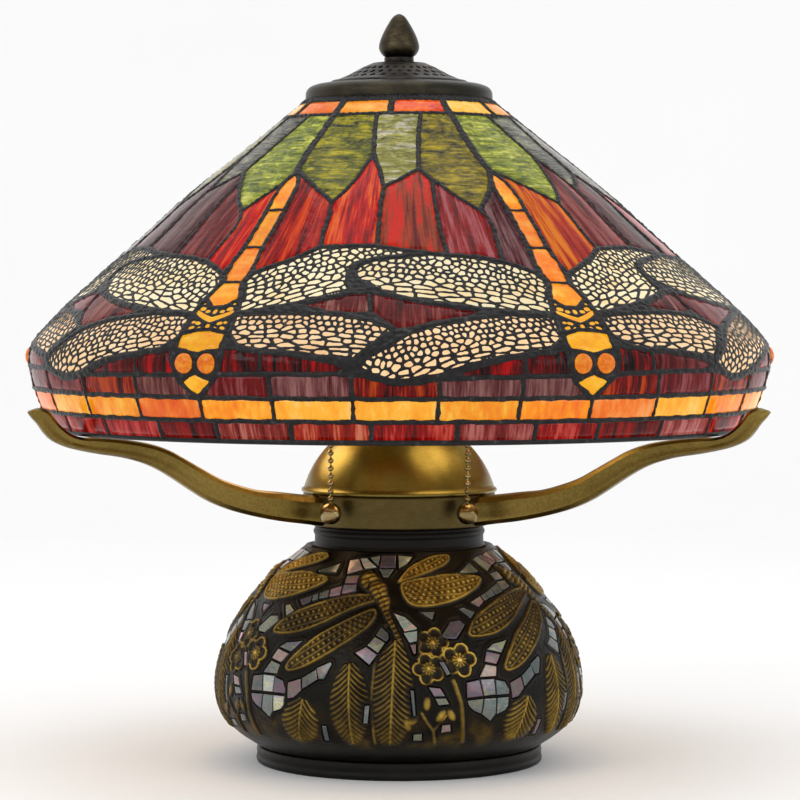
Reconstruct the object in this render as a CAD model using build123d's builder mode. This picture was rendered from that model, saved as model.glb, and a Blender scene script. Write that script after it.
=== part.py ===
from build123d import *
from math import sin, cos, radians, hypot, pi
import os

os.makedirs("parts", exist_ok=True)

# ----------------------------------------------------------------------
# Leaded-glass table lamp with a cast, pearl-inlaid base.
# Millimetres, +Z up, origin at the centre of the foot's underside.
# The front of the lamp faces -Y.  Angles around the axis are measured
# from the front (-Y) towards +X.
# ----------------------------------------------------------------------

# ---- base ------------------------------------------------------------
FOOT_R = 78.6            # foot ring radius
FOOT_H = 9.5             # foot ring height
FOOT_IN_R = 64.0         # inside of the foot ring, below the ledge
LEDGE_R = 60.0           # ledge that the bottom plate is pulled against
LEDGE_Z = 8.0
PLATE_T = 1.5            # bottom plate
BODY_WALL = 4.4          # cast body wall
BODY_TOP_Z = 117.9
BODY_TOP_IN_R = 40.0
TILE_T = 1.5             # pearl inlay thickness
TILE_SINK = 0.45         # inlay face below the tangent plane
TILE_INSET = 0.55        # inlay edge from its joint centre line
POCKET_INSET = 0.40      # pocket edge from the same line
BASE_REPEATS = 5         # the cast motif repeats every 72 degrees

# ---- neck, arms and dome ---------------------------------------------
COLLAR_R = 47.3
COLLAR_Z0, COLLAR_Z1 = 117.9, 130.3
RING_R0, RING_R1 = 49.6, 53.0
RING_Z0, RING_Z1 = 130.3, 148.3
ARM_T = 12.0             # side-to-side thickness of an arm
ARM_ANGLES = {"right": 60.0, "rear": 180.0, "left": -60.0}
DOME_R, DOME_CZ = 54.9, 135.4
DOME_T = 1.4

SCREW_SEAT, SCREW_Z = 47.4, 139.8   # where the arm screws bear

# ---- rod and sockets -------------------------------------------------
ROD_R = 4.8
ROD_Z0, ROD_Z1 = 1.0, 379.0
STUD_R, STUD_Z = 3.2, 398.5
SOCKET_Z = 222.0         # where the socket axes meet the rod
SOCKET_TILT = 12.0       # sockets point outwards and up by this much
CHAIN_X, CHAIN_Y = 36.6, -49.0
BEAD_R, BEAD_PITCH = 1.6, 4.1
BALL_R, BALL_Z = 5.8, 139.4

# ---- shade -----------------------------------------------------------
SHADE_REPEATS = 6        # the window pattern repeats every 60 degrees
CAME_T = 3.0             # lead lines, through the thickness
GLASS_DROP = 0.45        # glass face below the lead face
GLASS_T = 2.0
GLASS_INSET = 1.35       # glass edge from the lead's centre line
CAME_INSET = 1.20        # lead edge from the same line
WING_EXTRA = 0.45        # the lead is that much wider round the wings
RIM_R, RIM_Z, RIM_WIRE = 190.55, 184.73, 1.65

SHADE_PROFILE = [(50.6, 363.4), (79.1, 340.2), (110.0, 315.6), (138.1, 290.7),
                 (165.0, 266.7), (191.5, 241.7), (199.3, 233.0), (202.6, 228.0),
                 (203.4, 222.2), (202.6, 215.7), (200.8, 207.0), (196.6, 195.4),
                 (192.6, 185.7)]

BODY_PROFILE = [(51.2, 118.9), (57.9, 112.5), (67.5, 105.9), (75.6, 96.2),
                (83.7, 86.4), (91.5, 73.5), (96.3, 63.8), (99.7, 50.8),
                (100.4, 42.5), (99.6, 34.3), (97.4, 27.6), (93.6, 21.0),
                (85.4, 14.2), (78.6, 9.5)]

# ---- window pattern, one sixth of the shade ---------------------------
# Each piece is a list of (degrees from the dragonfly's axis, millimetres
# down the slope from the top edge).  Neighbours share their lead lines.
BAND = [[(-3.3, 3.2), (26.4, 3.2), (26.4, 16.4), (-3.3, 16.4)],
        [(26.4, 3.2), (56.7, 3.2), (56.7, 16.4), (26.4, 16.4)]]
LEAF = [[(-3.0, 16.4), (19.6, 16.4), (20.6, 30), (21.4, 42), (22.1, 52), (19.6, 68),
         (18.0, 78), (14.0, 93.5), (10.8, 87), (7.0, 80), (2.4, 72), (-1.3, 66.5),
         (-2.3, 60), (-2.7, 45)],
        [(19.6, 16.4), (41.3, 16.4), (39.5, 28), (38.2, 38), (37.5, 50), (36.6, 66.5),
         (33.3, 71), (30.2, 76), (26.6, 81), (25.1, 68), (22.1, 52), (21.4, 42), (20.6, 30)],
        [(41.3, 16.4), (57.0, 16.4), (57.3, 45), (57.7, 60), (58.7, 66.5), (56.8, 77),
         (54.9, 85), (50.2, 100), (46.2, 91), (43.1, 83), (40.3, 75), (36.6, 66.5),
         (37.5, 50), (38.2, 38), (39.5, 28)]]
RAY = [[(-0.4, 69.5), (2.4, 72), (7.0, 80), (10.8, 87), (14.0, 93.5), (14.5, 103),
        (14.8, 128.3), (13.2, 131.5), (10.1, 137), (6.5, 142.8), (3.2, 148), (2.6, 140),
        (2.3, 127), (2.4, 98), (2.3, 84), (1.7, 77)],
       [(22.1, 52), (25.1, 68), (26.6, 81), (26.2, 98), (26.4, 127.5), (20.4, 127.5),
        (14.8, 128.3), (14.5, 103), (14.0, 93.5), (18.0, 78), (19.6, 68)],
       [(26.6, 81), (30.2, 76), (33.3, 71), (36.6, 66.5), (39.9, 77.5), (39.6, 100),
        (40.0, 134), (35.9, 132), (30.7, 130.2), (26.4, 127.5), (26.2, 98)],
       [(39.9, 77.5), (43.1, 83), (46.2, 91), (50.2, 100), (51.8, 113), (50.8, 138.6),
        (46.2, 135.3), (40.0, 134), (39.6, 100)],
       [(50.2, 100), (54.9, 85), (56.8, 77), (57.0, 84), (57.4, 98), (57.6, 127),
        (57.2, 140), (56.8, 148), (53.4, 142.3), (50.8, 138.6), (51.8, 113)]]
BODY = [[(-1.3, 69.5), (0.3, 72), (1.6, 77), (2.2, 84), (2.2, 99.6), (-2.1, 99.6),
         (-3.0, 84), (-2.6, 77)],
        [(-2.1, 99.6), (2.2, 99.6), (2.2, 113), (1.9, 128.2), (-1.9, 128.2), (-2.1, 113)],
        [(-1.9, 128.2), (1.9, 128.2), (2.5, 140), (2.0, 154.8), (-1.7, 154.8), (-2.5, 140)],
        [(-1.7, 154.8), (2.0, 154.8), (3.4, 166.5), (1.0, 172.8), (-1.1, 172.8), (-3.3, 166.5)],
        [(-4.0, 192), (-1.2, 188.9), (1.2, 188.8), (3.9, 191), (3.7, 201), (0.2, 203.8),
         (-3.7, 201)],
        [(-3.0, 218.3), (0.0, 213.6), (2.8, 217.9), (0.1, 226.0)]]
BODYNET = [[(-3.3, 166.5), (-1.1, 172.8), (1.0, 172.8), (3.4, 166.5), (4.0, 178),
            (3.9, 191), (1.2, 188.8), (-1.2, 188.9), (-4.0, 192), (-4.0, 178)]]
EYES = [(-1.9, 208.8), (1.9, 208.8)]
EYE_R = 5.0
WING = [[(3.2, 148), (6.5, 142.8), (10.1, 137), (13.2, 131.5), (14.8, 128.3), (20.4, 127.5),
         (26.4, 127.5), (29.5, 130.0), (26.0, 137.6), (22.2, 141.5), (21.6, 148),
         (21.8, 156), (22.8, 162), (19.4, 165.5), (14.2, 170), (9.1, 174), (4.0, 177.0),
         (3.4, 166.5), (2.2, 156)],
        [(56.8, 148), (57.9, 156), (56.7, 166.5), (56.0, 177.6), (50.3, 176.2), (44.1, 174),
         (39.0, 171.3), (33.8, 168.2), (28.7, 163.5), (26.2, 159), (23.4, 153.5),
         (22.4, 147), (23.2, 141.8), (26.0, 137.6), (31.0, 135.4), (35.9, 133.6),
         (41.0, 134.2), (46.2, 135.3), (50.8, 138.6), (53.4, 142.3)],
        [(4.0, 178.6), (10.1, 176.8), (18.4, 176.5), (22.5, 178), (26.6, 181.5), (29.3, 186),
         (29.9, 189.5), (28.3, 193), (27.1, 197.5), (25.4, 203.5), (24.2, 207.5),
         (20.4, 205.8), (15.3, 203), (10.1, 201.8), (6.5, 199.5), (4.3, 192)],
        [(56.0, 179.2), (49.3, 176.6), (46.2, 178.5), (41.0, 181), (35.9, 184.5), (32.8, 189),
         (30.7, 193.5), (28.7, 199), (26.1, 204.5), (24.4, 209.5), (26.4, 214), (29.7, 217.6),
         (33.8, 217), (36.9, 214.5), (41.0, 209.6), (45.2, 206), (49.3, 204), (53.4, 201.5),
         (55.9, 194)]]
GROUND = [[(14.8, 171.5), (19.4, 166.5), (22.8, 163), (25.6, 162.5), (26.4, 177), (22.5, 177.4),
           (18.4, 175.6)],
          [(25.6, 162.5), (28.7, 164.5), (33.8, 169), (39.0, 172.3), (45.0, 175.8), (41.0, 180),
           (35.9, 183.5), (32.5, 187.5), (30.5, 188.5), (29.0, 184.5), (26.4, 177)],
          [(4.4, 199.5), (6.5, 200.5), (10.4, 202.3), (10.5, 213.8), (3.6, 214.5), (4.3, 207)],
          [(10.4, 202.3), (15.3, 204), (20.4, 207), (23.6, 210.5), (22.0, 213.8), (10.5, 213.8)],
          [(37.5, 216), (41.0, 210.8), (45.2, 207), (48.9, 205), (49.2, 215.1)],
          [(48.9, 205), (53.4, 202.5), (55.6, 200.5), (55.7, 207), (56.6, 214.8), (49.2, 215.1)]]
UPPER = [[(3.6, 214.5), (11.7, 213.8), (11.8, 226.3), (0.3, 226.3), (2.8, 217.9)],
         [(11.7, 213.8), (23.9, 213.8), (24.0, 226.3), (11.8, 226.3)],
         [(23.9, 213.8), (26.4, 215), (29.7, 218.6), (33.8, 218), (36.4, 215.8), (36.6, 226.3),
          (24.0, 226.3)],
         [(36.4, 215.8), (48.8, 215.2), (48.9, 226.3), (36.6, 226.3)],
         [(48.8, 215.2), (56.6, 214.8), (57.0, 218.3), (59.9, 226.3), (48.9, 226.3)]]
AMBER_X = [0.2, 12.0, 24.0, 36.4, 48.6, 60.2]
LOWER_X = [2.2, 14.4, 26.6, 39.4, 51.6, 62.2]
AMBER = [[(a, 226.3), (b, 226.3), (b, 238.6), (a, 238.6)] for a, b in zip(AMBER_X, AMBER_X[1:])]
LOWER = [[(a, 238.6), (b, 238.6), (b, 248.4), (a, 248.4)] for a, b in zip(LOWER_X, LOWER_X[1:])]

# ---- pearl inlays, one fifth of the body ------------------------------
# (degrees, millimetres down from the body's top edge)
TILE = [[(-51.3, 82.5), (-46.7, 81.3), (-45.8, 90.8), (-51.5, 91.3)],
        [(-46.7, 81.3), (-41.5, 81.3), (-41.5, 90.5), (-45.8, 90.8)],
        [(-41.5, 81.7), (-37.9, 83.3), (-36.4, 88.3), (-36.7, 90.8), (-41.5, 90.8)],
        [(-51.5, 92.0), (-45.7, 91.5), (-46.5, 100.5), (-49.2, 98.3), (-50.8, 95.8)],
        [(-45.7, 91.5), (-41.3, 91.5), (-41.5, 100.8), (-43.3, 104.7), (-46.5, 100.5)],
        [(-41.3, 91.5), (-36.8, 91.5), (-37.1, 96.7), (-38.3, 99.2), (-41.5, 101.2)],
        [(-47.1, 80.8), (-44.2, 73.3), (-40.0, 75.0), (-40.7, 80.8)],
        [(-44.6, 72.6), (-42.9, 66.2), (-37.5, 68.7), (-40.0, 74.5)],
        [(-42.9, 65.8), (-40.0, 62.5), (-33.3, 60.8), (-37.1, 68.3)],
        [(-36.2, 84.2), (-31.4, 81.3), (-30.7, 88.3), (-33.3, 92.5), (-35.8, 93.3)],
        [(-31.2, 81.2), (-26.2, 75.8), (-25.4, 82.0), (-30.7, 88.0)],
        [(-26.7, 75.5), (-21.7, 71.3), (-21.1, 73.3), (-23.3, 81.7), (-25.4, 81.7)],
        [(-57.7, 56.3), (-53.7, 48.3), (-49.6, 47.5), (-47.9, 50.8), (-52.5, 59.2), (-56.7, 58.7)],
        [(-49.3, 40.8), (-46.7, 40.0), (-42.5, 43.7), (-45.4, 48.0)],
        [(-43.3, 37.0), (-37.5, 33.3), (-36.7, 37.5), (-40.0, 40.8)],
        [(-37.5, 33.3), (-34.6, 31.7), (-33.7, 35.8), (-36.5, 37.5)],
        [(-34.6, 31.7), (-30.0, 28.7), (-29.4, 34.2), (-33.7, 35.8)],
        [(-30.0, 28.7), (-24.8, 25.8), (-24.3, 32.5), (-29.4, 34.2)],
        [(-24.8, 25.4), (-18.3, 24.7), (-17.7, 29.7), (-24.3, 32.0)],
        [(-25.0, 19.2), (-18.2, 18.0), (-18.5, 24.2), (-24.6, 24.7)],
        [(-28.2, 6.7), (-22.5, 5.0), (-17.7, 13.5), (-25.4, 18.0)],
        [(-22.5, 5.0), (-17.9, 4.5), (-10.8, 11.5), (-17.5, 13.3)],
        [(-17.0, 4.3), (-10.4, 2.5), (-10.5, 11.0)],
        [(-10.4, 2.5), (-1.3, 2.2), (-1.3, 12.0), (-10.4, 12.0)],
        [(-0.8, 2.2), (8.3, 3.3), (4.2, 9.2), (-0.4, 12.5)],
        [(-10.4, 12.5), (-2.1, 13.0), (-4.6, 19.7), (-7.5, 19.7)],
        [(29.2, 16.7), (40.0, 8.7), (41.3, 17.5), (30.8, 18.0)],
        [(-2.3, 42.5), (2.1, 45.0), (6.5, 51.7), (6.2, 53.0), (1.7, 54.2)],
        [(1.2, 54.5), (6.5, 53.2), (6.2, 59.7), (3.3, 60.8)],
        [(3.3, 61.2), (5.8, 60.8), (5.6, 66.7), (4.6, 67.5)],
        [(-6.2, 50.5), (-3.3, 55.0), (-3.2, 58.3), (-4.2, 60.3), (-8.2, 56.3)],
        [(-8.2, 56.7), (-4.3, 60.3), (-6.7, 66.7), (-10.8, 62.0)],
        [(-10.8, 62.5), (-6.7, 67.0), (-9.2, 73.3), (-14.6, 66.3)],
        [(7.5, 42.0), (13.7, 42.0), (12.1, 48.0), (9.6, 45.0)],
        [(12.1, 70.8), (14.2, 70.8), (16.2, 78.3), (14.6, 79.2)],
        [(3.1, 85.5), (4.6, 85.8), (5.2, 100.0), (4.0, 100.5)],
        [(8.5, 84.2), (12.5, 85.0), (14.2, 90.0), (10.4, 90.0)],
        [(10.4, 90.3), (14.2, 90.3), (15.4, 94.2), (11.7, 94.7)],
        [(12.9, 105.0), (15.8, 104.7), (16.2, 109.2), (12.7, 110.0)],
        [(4.2, 110.0), (7.3, 110.0), (7.3, 114.7), (4.2, 114.7)],
        [(-10.4, 94.2), (-8.5, 93.7), (-9.2, 104.2), (-11.0, 104.7)],
        [(-24.2, 106.2), (-22.3, 106.2), (-22.3, 116.2), (-24.3, 116.2)]]


# ---- helpers for pieces that lie on a turned surface ------------------
def lengths(profile):
    out = [0.0]
    for (r0, z0), (r1, z1) in zip(profile, profile[1:]):
        out.append(out[-1] + hypot(r1 - r0, z1 - z0))
    return out


def station(profile, s):
    """Radius, height and unit direction of the profile at length s."""
    run = lengths(profile)
    s = min(max(s, 0.0), run[-1] - 1e-6)
    i = max(k for k in range(len(run) - 1) if run[k] <= s)
    (r0, z0), (r1, z1) = profile[i], profile[i + 1]
    f = (s - run[i]) / (run[i + 1] - run[i])
    d = run[i + 1] - run[i]
    return r0 + f * (r1 - r0), z0 + f * (z1 - z0), (r1 - r0) / d, (z1 - z0) / d


def on_surface(profile, phi, s):
    r, z, _, _ = station(profile, s)
    a = radians(phi)
    return Vector(r * sin(a), -r * cos(a), z)


def tangent_plane(profile, phi, s):
    _, _, tr, tz = station(profile, s)
    a = radians(phi)
    normal = Vector(-tz * sin(a), tz * cos(a), tr)
    return Plane(origin=on_surface(profile, phi, s), x_dir=Vector(cos(a), sin(a), 0), z_dir=normal)


def flatten(profile, outline):
    """The tangent plane at a piece's middle, and its outline seen there."""
    phis = [p for p, _ in outline]
    runs = [s for _, s in outline]
    plane = tangent_plane(profile, (min(phis) + max(phis)) / 2, (min(runs) + max(runs)) / 2)
    fine = []
    for (p0, s0), (p1, s1) in zip(outline, outline[1:] + outline[:1]):
        n = max(1, int(abs(p1 - p0) / 6.1) + 1)
        fine += [(p0 + (p1 - p0) * k / n, s0 + (s1 - s0) * k / n) for k in range(n)]
    pts = []
    for p, s in fine:
        q = plane.to_local_coords(on_surface(profile, p, s))
        pts.append((q.X, q.Y))
    return plane, pts


def shell_outline(profile, outer, inner):
    """Closed outline between two offsets below a profile."""
    def shift(depth):
        out = []
        for i, (r, z) in enumerate(profile):
            a = profile[max(i - 1, 0)]
            b = profile[min(i + 1, len(profile) - 1)]
            d = hypot(b[0] - a[0], b[1] - a[1])
            out.append((r + depth * (b[1] - a[1]) / d, z - depth * (b[0] - a[0]) / d))
        return out
    return shift(outer) + shift(inner)[::-1]


def prisms(profile, outlines, inset, up, down):
    """Cutters through the surface, one for each outline."""
    made = []
    for outline in outlines:
        plane, pts = flatten(profile, outline)
        with BuildPart() as cutter:
            with BuildSketch(plane.offset(up)):
                Polygon(*pts, align=None)
                offset(amount=-inset, kind=Kind.INTERSECTION)
            extrude(amount=-(up + down))
        made += cutter.part.solids()
    return made


def eye_cylinders(radius, up, down):
    made = []
    for phi, s in EYES:
        with BuildPart() as cutter:
            with BuildSketch(tangent_plane(SHADE_PROFILE, phi, s).offset(up)):
                Circle(radius)
            extrude(amount=-(up + down))
        made += cutter.part.solids()
    return made


def around(solids, count):
    step = 360.0 / count
    return [s.rotate(Axis.Z, step * k) for k in range(count) for s in solids]


def write(builder, name):
    builder.part.label = name
    export_step(builder.part, f"parts/{name}.step")


# ---- the shade's glass ------------------------------------------------
with BuildPart() as glass_shell:
    with BuildSketch(Plane.XZ):
        Polygon(*shell_outline(SHADE_PROFILE, GLASS_DROP, GLASS_DROP + GLASS_T), align=None)
    revolve(axis=Axis.Z)

GLASS_NODES = {"top_band_glass": (BAND, GLASS_INSET), "leaf_glass": (LEAF, GLASS_INSET),
               "ray_glass": (RAY, GLASS_INSET), "dragonfly_body_glass": (BODY + BODYNET, GLASS_INSET - 0.25),
               "wing_glass": (WING, GLASS_INSET + WING_EXTRA), "ground_glass": (GROUND, GLASS_INSET),
               "border_upper_glass": (UPPER, GLASS_INSET), "border_amber_glass": (AMBER, GLASS_INSET),
               "border_lower_glass": (LOWER, GLASS_INSET)}

for node, (outlines, inset) in GLASS_NODES.items():
    with BuildPart() as one_sixth:
        add(prisms(SHADE_PROFILE, outlines, inset, 7, 12))
        add(glass_shell.part, mode=Mode.INTERSECT)
    with BuildPart() as glass:
        add(around(one_sixth.part.solids(), SHADE_REPEATS))
    write(glass, node)

# Domed glass eyes, two to a dragonfly.
jewels = []
for phi, s in EYES:
    seat = tangent_plane(SHADE_PROFILE, phi, s)
    with BuildPart() as jewel:
        with BuildSketch(seat.offset(-2.0)):
            Circle(EYE_R - 0.15)
        extrude(amount=2.6)
        fillet(jewel.faces().sort_by(Axis(seat.origin, seat.z_dir))[-1].edges(), 1.6)
    jewels += jewel.part.solids()
with BuildPart() as eye_jewels:
    add(around(jewels, SHADE_REPEATS))
write(eye_jewels, "eye_jewels")

# ---- the lead net -----------------------------------------------------
came_shape = shell_outline(SHADE_PROFILE, 0.0, CAME_T)
cut_lists = ((BAND, CAME_INSET), (LEAF, CAME_INSET), (RAY, CAME_INSET),
             (BODY + BODYNET, CAME_INSET - 0.25), (WING, CAME_INSET + WING_EXTRA),
             (GROUND, CAME_INSET), (UPPER, CAME_INSET), (AMBER, CAME_INSET), (LOWER, CAME_INSET))
one_turn = []
for outlines, inset in cut_lists:
    one_turn += prisms(SHADE_PROFILE, outlines, inset, 7, 12)
one_turn += eye_cylinders(EYE_R, 7, 12)
near = []
for solid in one_turn:
    for turn in (-60, 0, 60):
        moved = solid.rotate(Axis.Z, turn)
        c = moved.center()
        if c.X > -30 and -c.Y > 0.5 * c.X - 40:
            near.append(moved)
with BuildPart() as came_sector:
    with BuildSketch(Plane(origin=(0, 0, 0), x_dir=(0, -1, 0), z_dir=(-1, 0, 0))):
        Polygon(*came_shape, align=None)
    revolve(axis=Axis.Z, revolution_arc=60)
    add(near, mode=Mode.SUBTRACT)
with BuildPart() as lead_came:
    add(around(came_sector.part.solids(), SHADE_REPEATS))
write(lead_came, "lead_came")

# ---- etched nets over the wings and the thorax ------------------------
NET_T = 0.35


def inside(outline, p, s):
    hit = False
    for (a, b), (c, d) in zip(outline, outline[1:] + outline[:1]):
        if (b > s) != (d > s) and p < (c - a) * (s - b) / (d - b) + a:
            hit = not hit
    return hit


def cells(outline, dp, ds, gap_p, gap_s):
    """Window openings on a grid, kept where they fit inside the outline."""
    found = []
    lo_p, hi_p = min(p for p, _ in outline), max(p for p, _ in outline)
    lo_s, hi_s = min(s for _, s in outline), max(s for _, s in outline)
    s, row = lo_s + ds, 0
    while s < hi_s:
        p = lo_p + dp * (0.5 + 0.5 * (row % 2))
        while p < hi_p:
            quad = [(p - dp / 2 + gap_p, s - ds / 2 + gap_s), (p + dp / 2 - gap_p, s - ds / 2 + gap_s),
                    (p + dp / 2 - gap_p, s + ds / 2 - gap_s), (p - dp / 2 + gap_p, s + ds / 2 - gap_s)]
            wide = [(p - dp / 2 - 0.5, s - ds / 2 - 1.6), (p + dp / 2 + 0.5, s - ds / 2 - 1.6),
                    (p + dp / 2 + 0.5, s + ds / 2 + 1.6), (p - dp / 2 - 0.5, s + ds / 2 + 1.6)]
            if all(inside(outline, a, b) for a, b in wide):
                found.append(quad)
            p += dp
        s += ds
        row += 1
    return found


with BuildPart() as net_shell:
    with BuildSketch(Plane.XZ):
        Polygon(*shell_outline(SHADE_PROFILE, GLASS_DROP - NET_T - 0.02, GLASS_DROP - 0.02), align=None)
    revolve(axis=Axis.Z)

for node, outlines, extra, grid in (("wing_filigree", WING, WING_EXTRA, (4.2, 7.4, 0.28, 0.9)),
                                    ("thorax_filigree", BODYNET, -0.25, (1.7, 3.6, 0.18, 0.6))):
    windows = [quad for outline in outlines for quad in cells(outline, *grid)]
    with BuildPart() as net_sector:
        add(prisms(SHADE_PROFILE, outlines, GLASS_INSET + extra, 7, 12))
        add(net_shell.part, mode=Mode.INTERSECT)
        add(prisms(SHADE_PROFILE, windows, 0.05, 7, 12), mode=Mode.SUBTRACT)
    with BuildPart() as net:
        add(around(net_sector.part.solids(), SHADE_REPEATS))
    write(net, node)

# ---- the shade's rim, cap and crown ------------------------------------
with BuildPart() as rim_wire:
    with BuildSketch(Plane.XZ):
        with Locations((RIM_R, RIM_Z)):
            Circle(RIM_WIRE)
    revolve(axis=Axis.Z)
write(rim_wire, "rim_wire")

with BuildPart() as cap_ring:
    with BuildSketch(Plane.XZ):
        with BuildLine():
            Polyline((46.6, 361.6), (46.2, 366.0), (43.5, 368.4), (37.0, 369.2), (37.0, 371.3),
                     (38.5, 371.9), (44.0, 371.3), (48.4, 369.2), (50.5, 366.4), (51.3, 364.0),
                     (50.9, 363.75), (49.0, 363.75), (48.2, 363.3), (46.6, 361.6))
        make_face()
    revolve(axis=Axis.Z)
write(cap_ring, "cap_ring")

CROWN_T = 1.2
with BuildPart() as vent_crown:
    with BuildSketch(Plane.XZ):
        with BuildLine():
            Polyline((40.5, 371.95), (38.5, 373.1), (11.9, 383.9), (3.6, 383.9), (3.6, 382.7),
                     (11.6, 382.7), (37.0, 371.95), (40.5, 371.95))
        make_face()
    revolve(axis=Axis.Z)
    for radius, count, turn, wide, tall in ((17.0, 14, 0, 3.6, 4.2), (23.5, 14, 0.5, 5.0, 5.2),
                                            (30.5, 14, 0, 6.6, 5.6)):
        with BuildSketch(Plane.XY.offset(365)):
            with PolarLocations(radius, count, start_angle=turn * 360 / count):
                Polygon((-tall / 2, 0), (0, -wide / 2), (tall / 2, 0), (0, wide / 2), align=None)
        extrude(amount=25, mode=Mode.SUBTRACT)
write(vent_crown, "vent_crown")

# ---- finial -------------------------------------------------------------
with BuildPart() as finial_washer:
    with BuildSketch(Plane.XY.offset(384.2)):
        Circle(8.1)
        Circle(STUD_R + 0.35, mode=Mode.SUBTRACT)
    extrude(amount=2.0)
write(finial_washer, "finial_washer")

with BuildPart() as finial:
    with BuildSketch(Plane.XZ):
        with BuildLine():
            Line((0, 386.3), (7.4, 386.3))
            Spline((7.4, 386.3), (9.4, 388.0), (11.0, 391.2), (10.6, 394.8), (9.2, 398.6),
                   (7.4, 402.2), (5.4, 405.6), (3.2, 408.6), (0, 410.2))
            Line((0, 410.2), (0, 386.3))
        make_face()
    revolve(axis=Axis.Z)
    with BuildSketch(Plane.XY.offset(386.3)):
        Circle(STUD_R + 0.35)
    extrude(amount=STUD_Z + 0.8 - 386.3, mode=Mode.SUBTRACT)
write(finial, "finial")

# ---- cast foot and body ---------------------------------------------------
with BuildPart() as foot_ring:
    with BuildSketch(Plane.XZ):
        with BuildLine():
            Polyline((FOOT_IN_R, 0), (FOOT_R - 2.4, 0), (FOOT_R - 0.7, 0.7), (FOOT_R, 2.4),
                     (FOOT_R, FOOT_H), (LEDGE_R, FOOT_H), (LEDGE_R, LEDGE_Z),
                     (FOOT_IN_R, LEDGE_Z), (FOOT_IN_R, 0))
        make_face()
    revolve(axis=Axis.Z)
write(foot_ring, "foot_ring")

with BuildPart() as bottom_plate:
    with BuildSketch(Plane.XY.offset(LEDGE_Z - PLATE_T)):
        Circle(FOOT_IN_R - 0.3)
        Circle(ROD_R + 0.25, mode=Mode.SUBTRACT)
        with PolarLocations(40, 6):
            Circle(3.0, mode=Mode.SUBTRACT)
    extrude(amount=PLATE_T)
write(bottom_plate, "bottom_plate")

CORD_Z = 30.0            # height of the cord bushing
CORD_SEAT = 98.0         # plane that its flange sits on
base_tiles = prisms(BODY_PROFILE, TILE, TILE_INSET, -TILE_SINK, TILE_SINK + TILE_T)
base_pockets = prisms(BODY_PROFILE, TILE, POCKET_INSET, 5, TILE_SINK + TILE_T)
with BuildPart() as base_shell:
    with BuildSketch(Plane.XZ):
        with BuildLine():
            Polyline([(BODY_TOP_IN_R, BODY_TOP_Z), (52.2, BODY_TOP_Z)] + BODY_PROFILE[1:]
                     + [(71.5, FOOT_H), (78.5, 15.5), (89.0, 24.0), (94.2, 34.0), (95.9, 42.5),
                        (95.3, 50.0), (92.0, 62.5), (87.5, 71.2), (80.2, 83.6), (72.4, 93.0),
                        (64.6, 102.3), (55.3, 108.7), (48.8, 112.6), (BODY_TOP_IN_R, 113.6),
                        (BODY_TOP_IN_R, BODY_TOP_Z)])
        make_face()
    revolve(axis=Axis.Z)
    add(around(base_pockets, BASE_REPEATS), mode=Mode.SUBTRACT)
    with BuildSketch(Plane(origin=(0, 70, CORD_Z), x_dir=(1, 0, 0), z_dir=(0, 1, 0))):
        Circle(5.6)
    extrude(amount=35, mode=Mode.SUBTRACT)
    with BuildSketch(Plane(origin=(0, CORD_SEAT, CORD_Z), x_dir=(1, 0, 0), z_dir=(0, 1, 0))):
        Circle(7.7)
    extrude(amount=10, mode=Mode.SUBTRACT)
write(base_shell, "base_shell")

with BuildPart() as mosaic_tiles:
    add(around(base_tiles, BASE_REPEATS))
write(mosaic_tiles, "mosaic_tiles")

# Bushing that the supply cord passes through, at the back of the body.
with BuildPart() as cord_bushing:
    with BuildSketch(Plane(origin=(0, 82, CORD_Z), x_dir=(1, 0, 0), z_dir=(0, 1, 0))):
        Circle(5.4)
    extrude(amount=17)
    with BuildSketch(Plane(origin=(0, CORD_SEAT, CORD_Z), x_dir=(1, 0, 0), z_dir=(0, 1, 0))):
        Circle(7.4)
    extrude(amount=2.2)
    fillet(cord_bushing.faces().sort_by(Axis.Y)[-1].edges(), 0.8)
    with BuildSketch(Plane(origin=(0, 80, CORD_Z), x_dir=(1, 0, 0), z_dir=(0, 1, 0))):
        Circle(3.3)
    extrude(amount=22, mode=Mode.SUBTRACT)
write(cord_bushing, "cord_bushing")

with BuildPart() as base_collar:
    with BuildSketch(Plane.XZ):
        with BuildLine():
            Polyline((42.0, COLLAR_Z0), (46.4, COLLAR_Z0), (46.0, 120.5), (46.3, 124.0),
                     (COLLAR_R, 128.0), (COLLAR_R, COLLAR_Z1), (ROD_R + 0.2, COLLAR_Z1),
                     (ROD_R + 0.2, 127.3), (42.0, 127.3), (42.0, COLLAR_Z0))
        make_face()
    revolve(axis=Axis.Z)
write(base_collar, "base_collar")

# ---- rod, washer and nuts -------------------------------------------------
with BuildPart() as central_rod:
    with BuildSketch(Plane.XY.offset(ROD_Z0)):
        Circle(ROD_R)
    extrude(amount=ROD_Z1 - ROD_Z0)
    with BuildSketch(Plane.XY.offset(ROD_Z1)):
        Circle(STUD_R)
    extrude(amount=STUD_Z - ROD_Z1)
    chamfer(central_rod.faces().sort_by(Axis.Z)[-1].edges(), 0.6)
write(central_rod, "central_rod")

with BuildPart() as rod_foot_washer:
    with BuildSketch(Plane.XY.offset(LEDGE_Z - PLATE_T - 1.2)):
        Circle(13)
        Circle(ROD_R + 0.2, mode=Mode.SUBTRACT)
    extrude(amount=1.2)
write(rod_foot_washer, "rod_foot_washer")

for node, low, high, across in (("rod_foot_nut", 1.6, LEDGE_Z - PLATE_T - 1.2, 9.5),
                                ("dome_lock_nut", 190.6, 195.2, 9.0),
                                ("cluster_lock_nut", 202.0, 206.0, 9.0)):
    with BuildPart() as nut:
        with BuildSketch(Plane.XY.offset(low)):
            RegularPolygon(across, 6)
            Circle(ROD_R + 0.05, mode=Mode.SUBTRACT)
        extrude(amount=high - low)
    write(nut, node)

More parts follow.
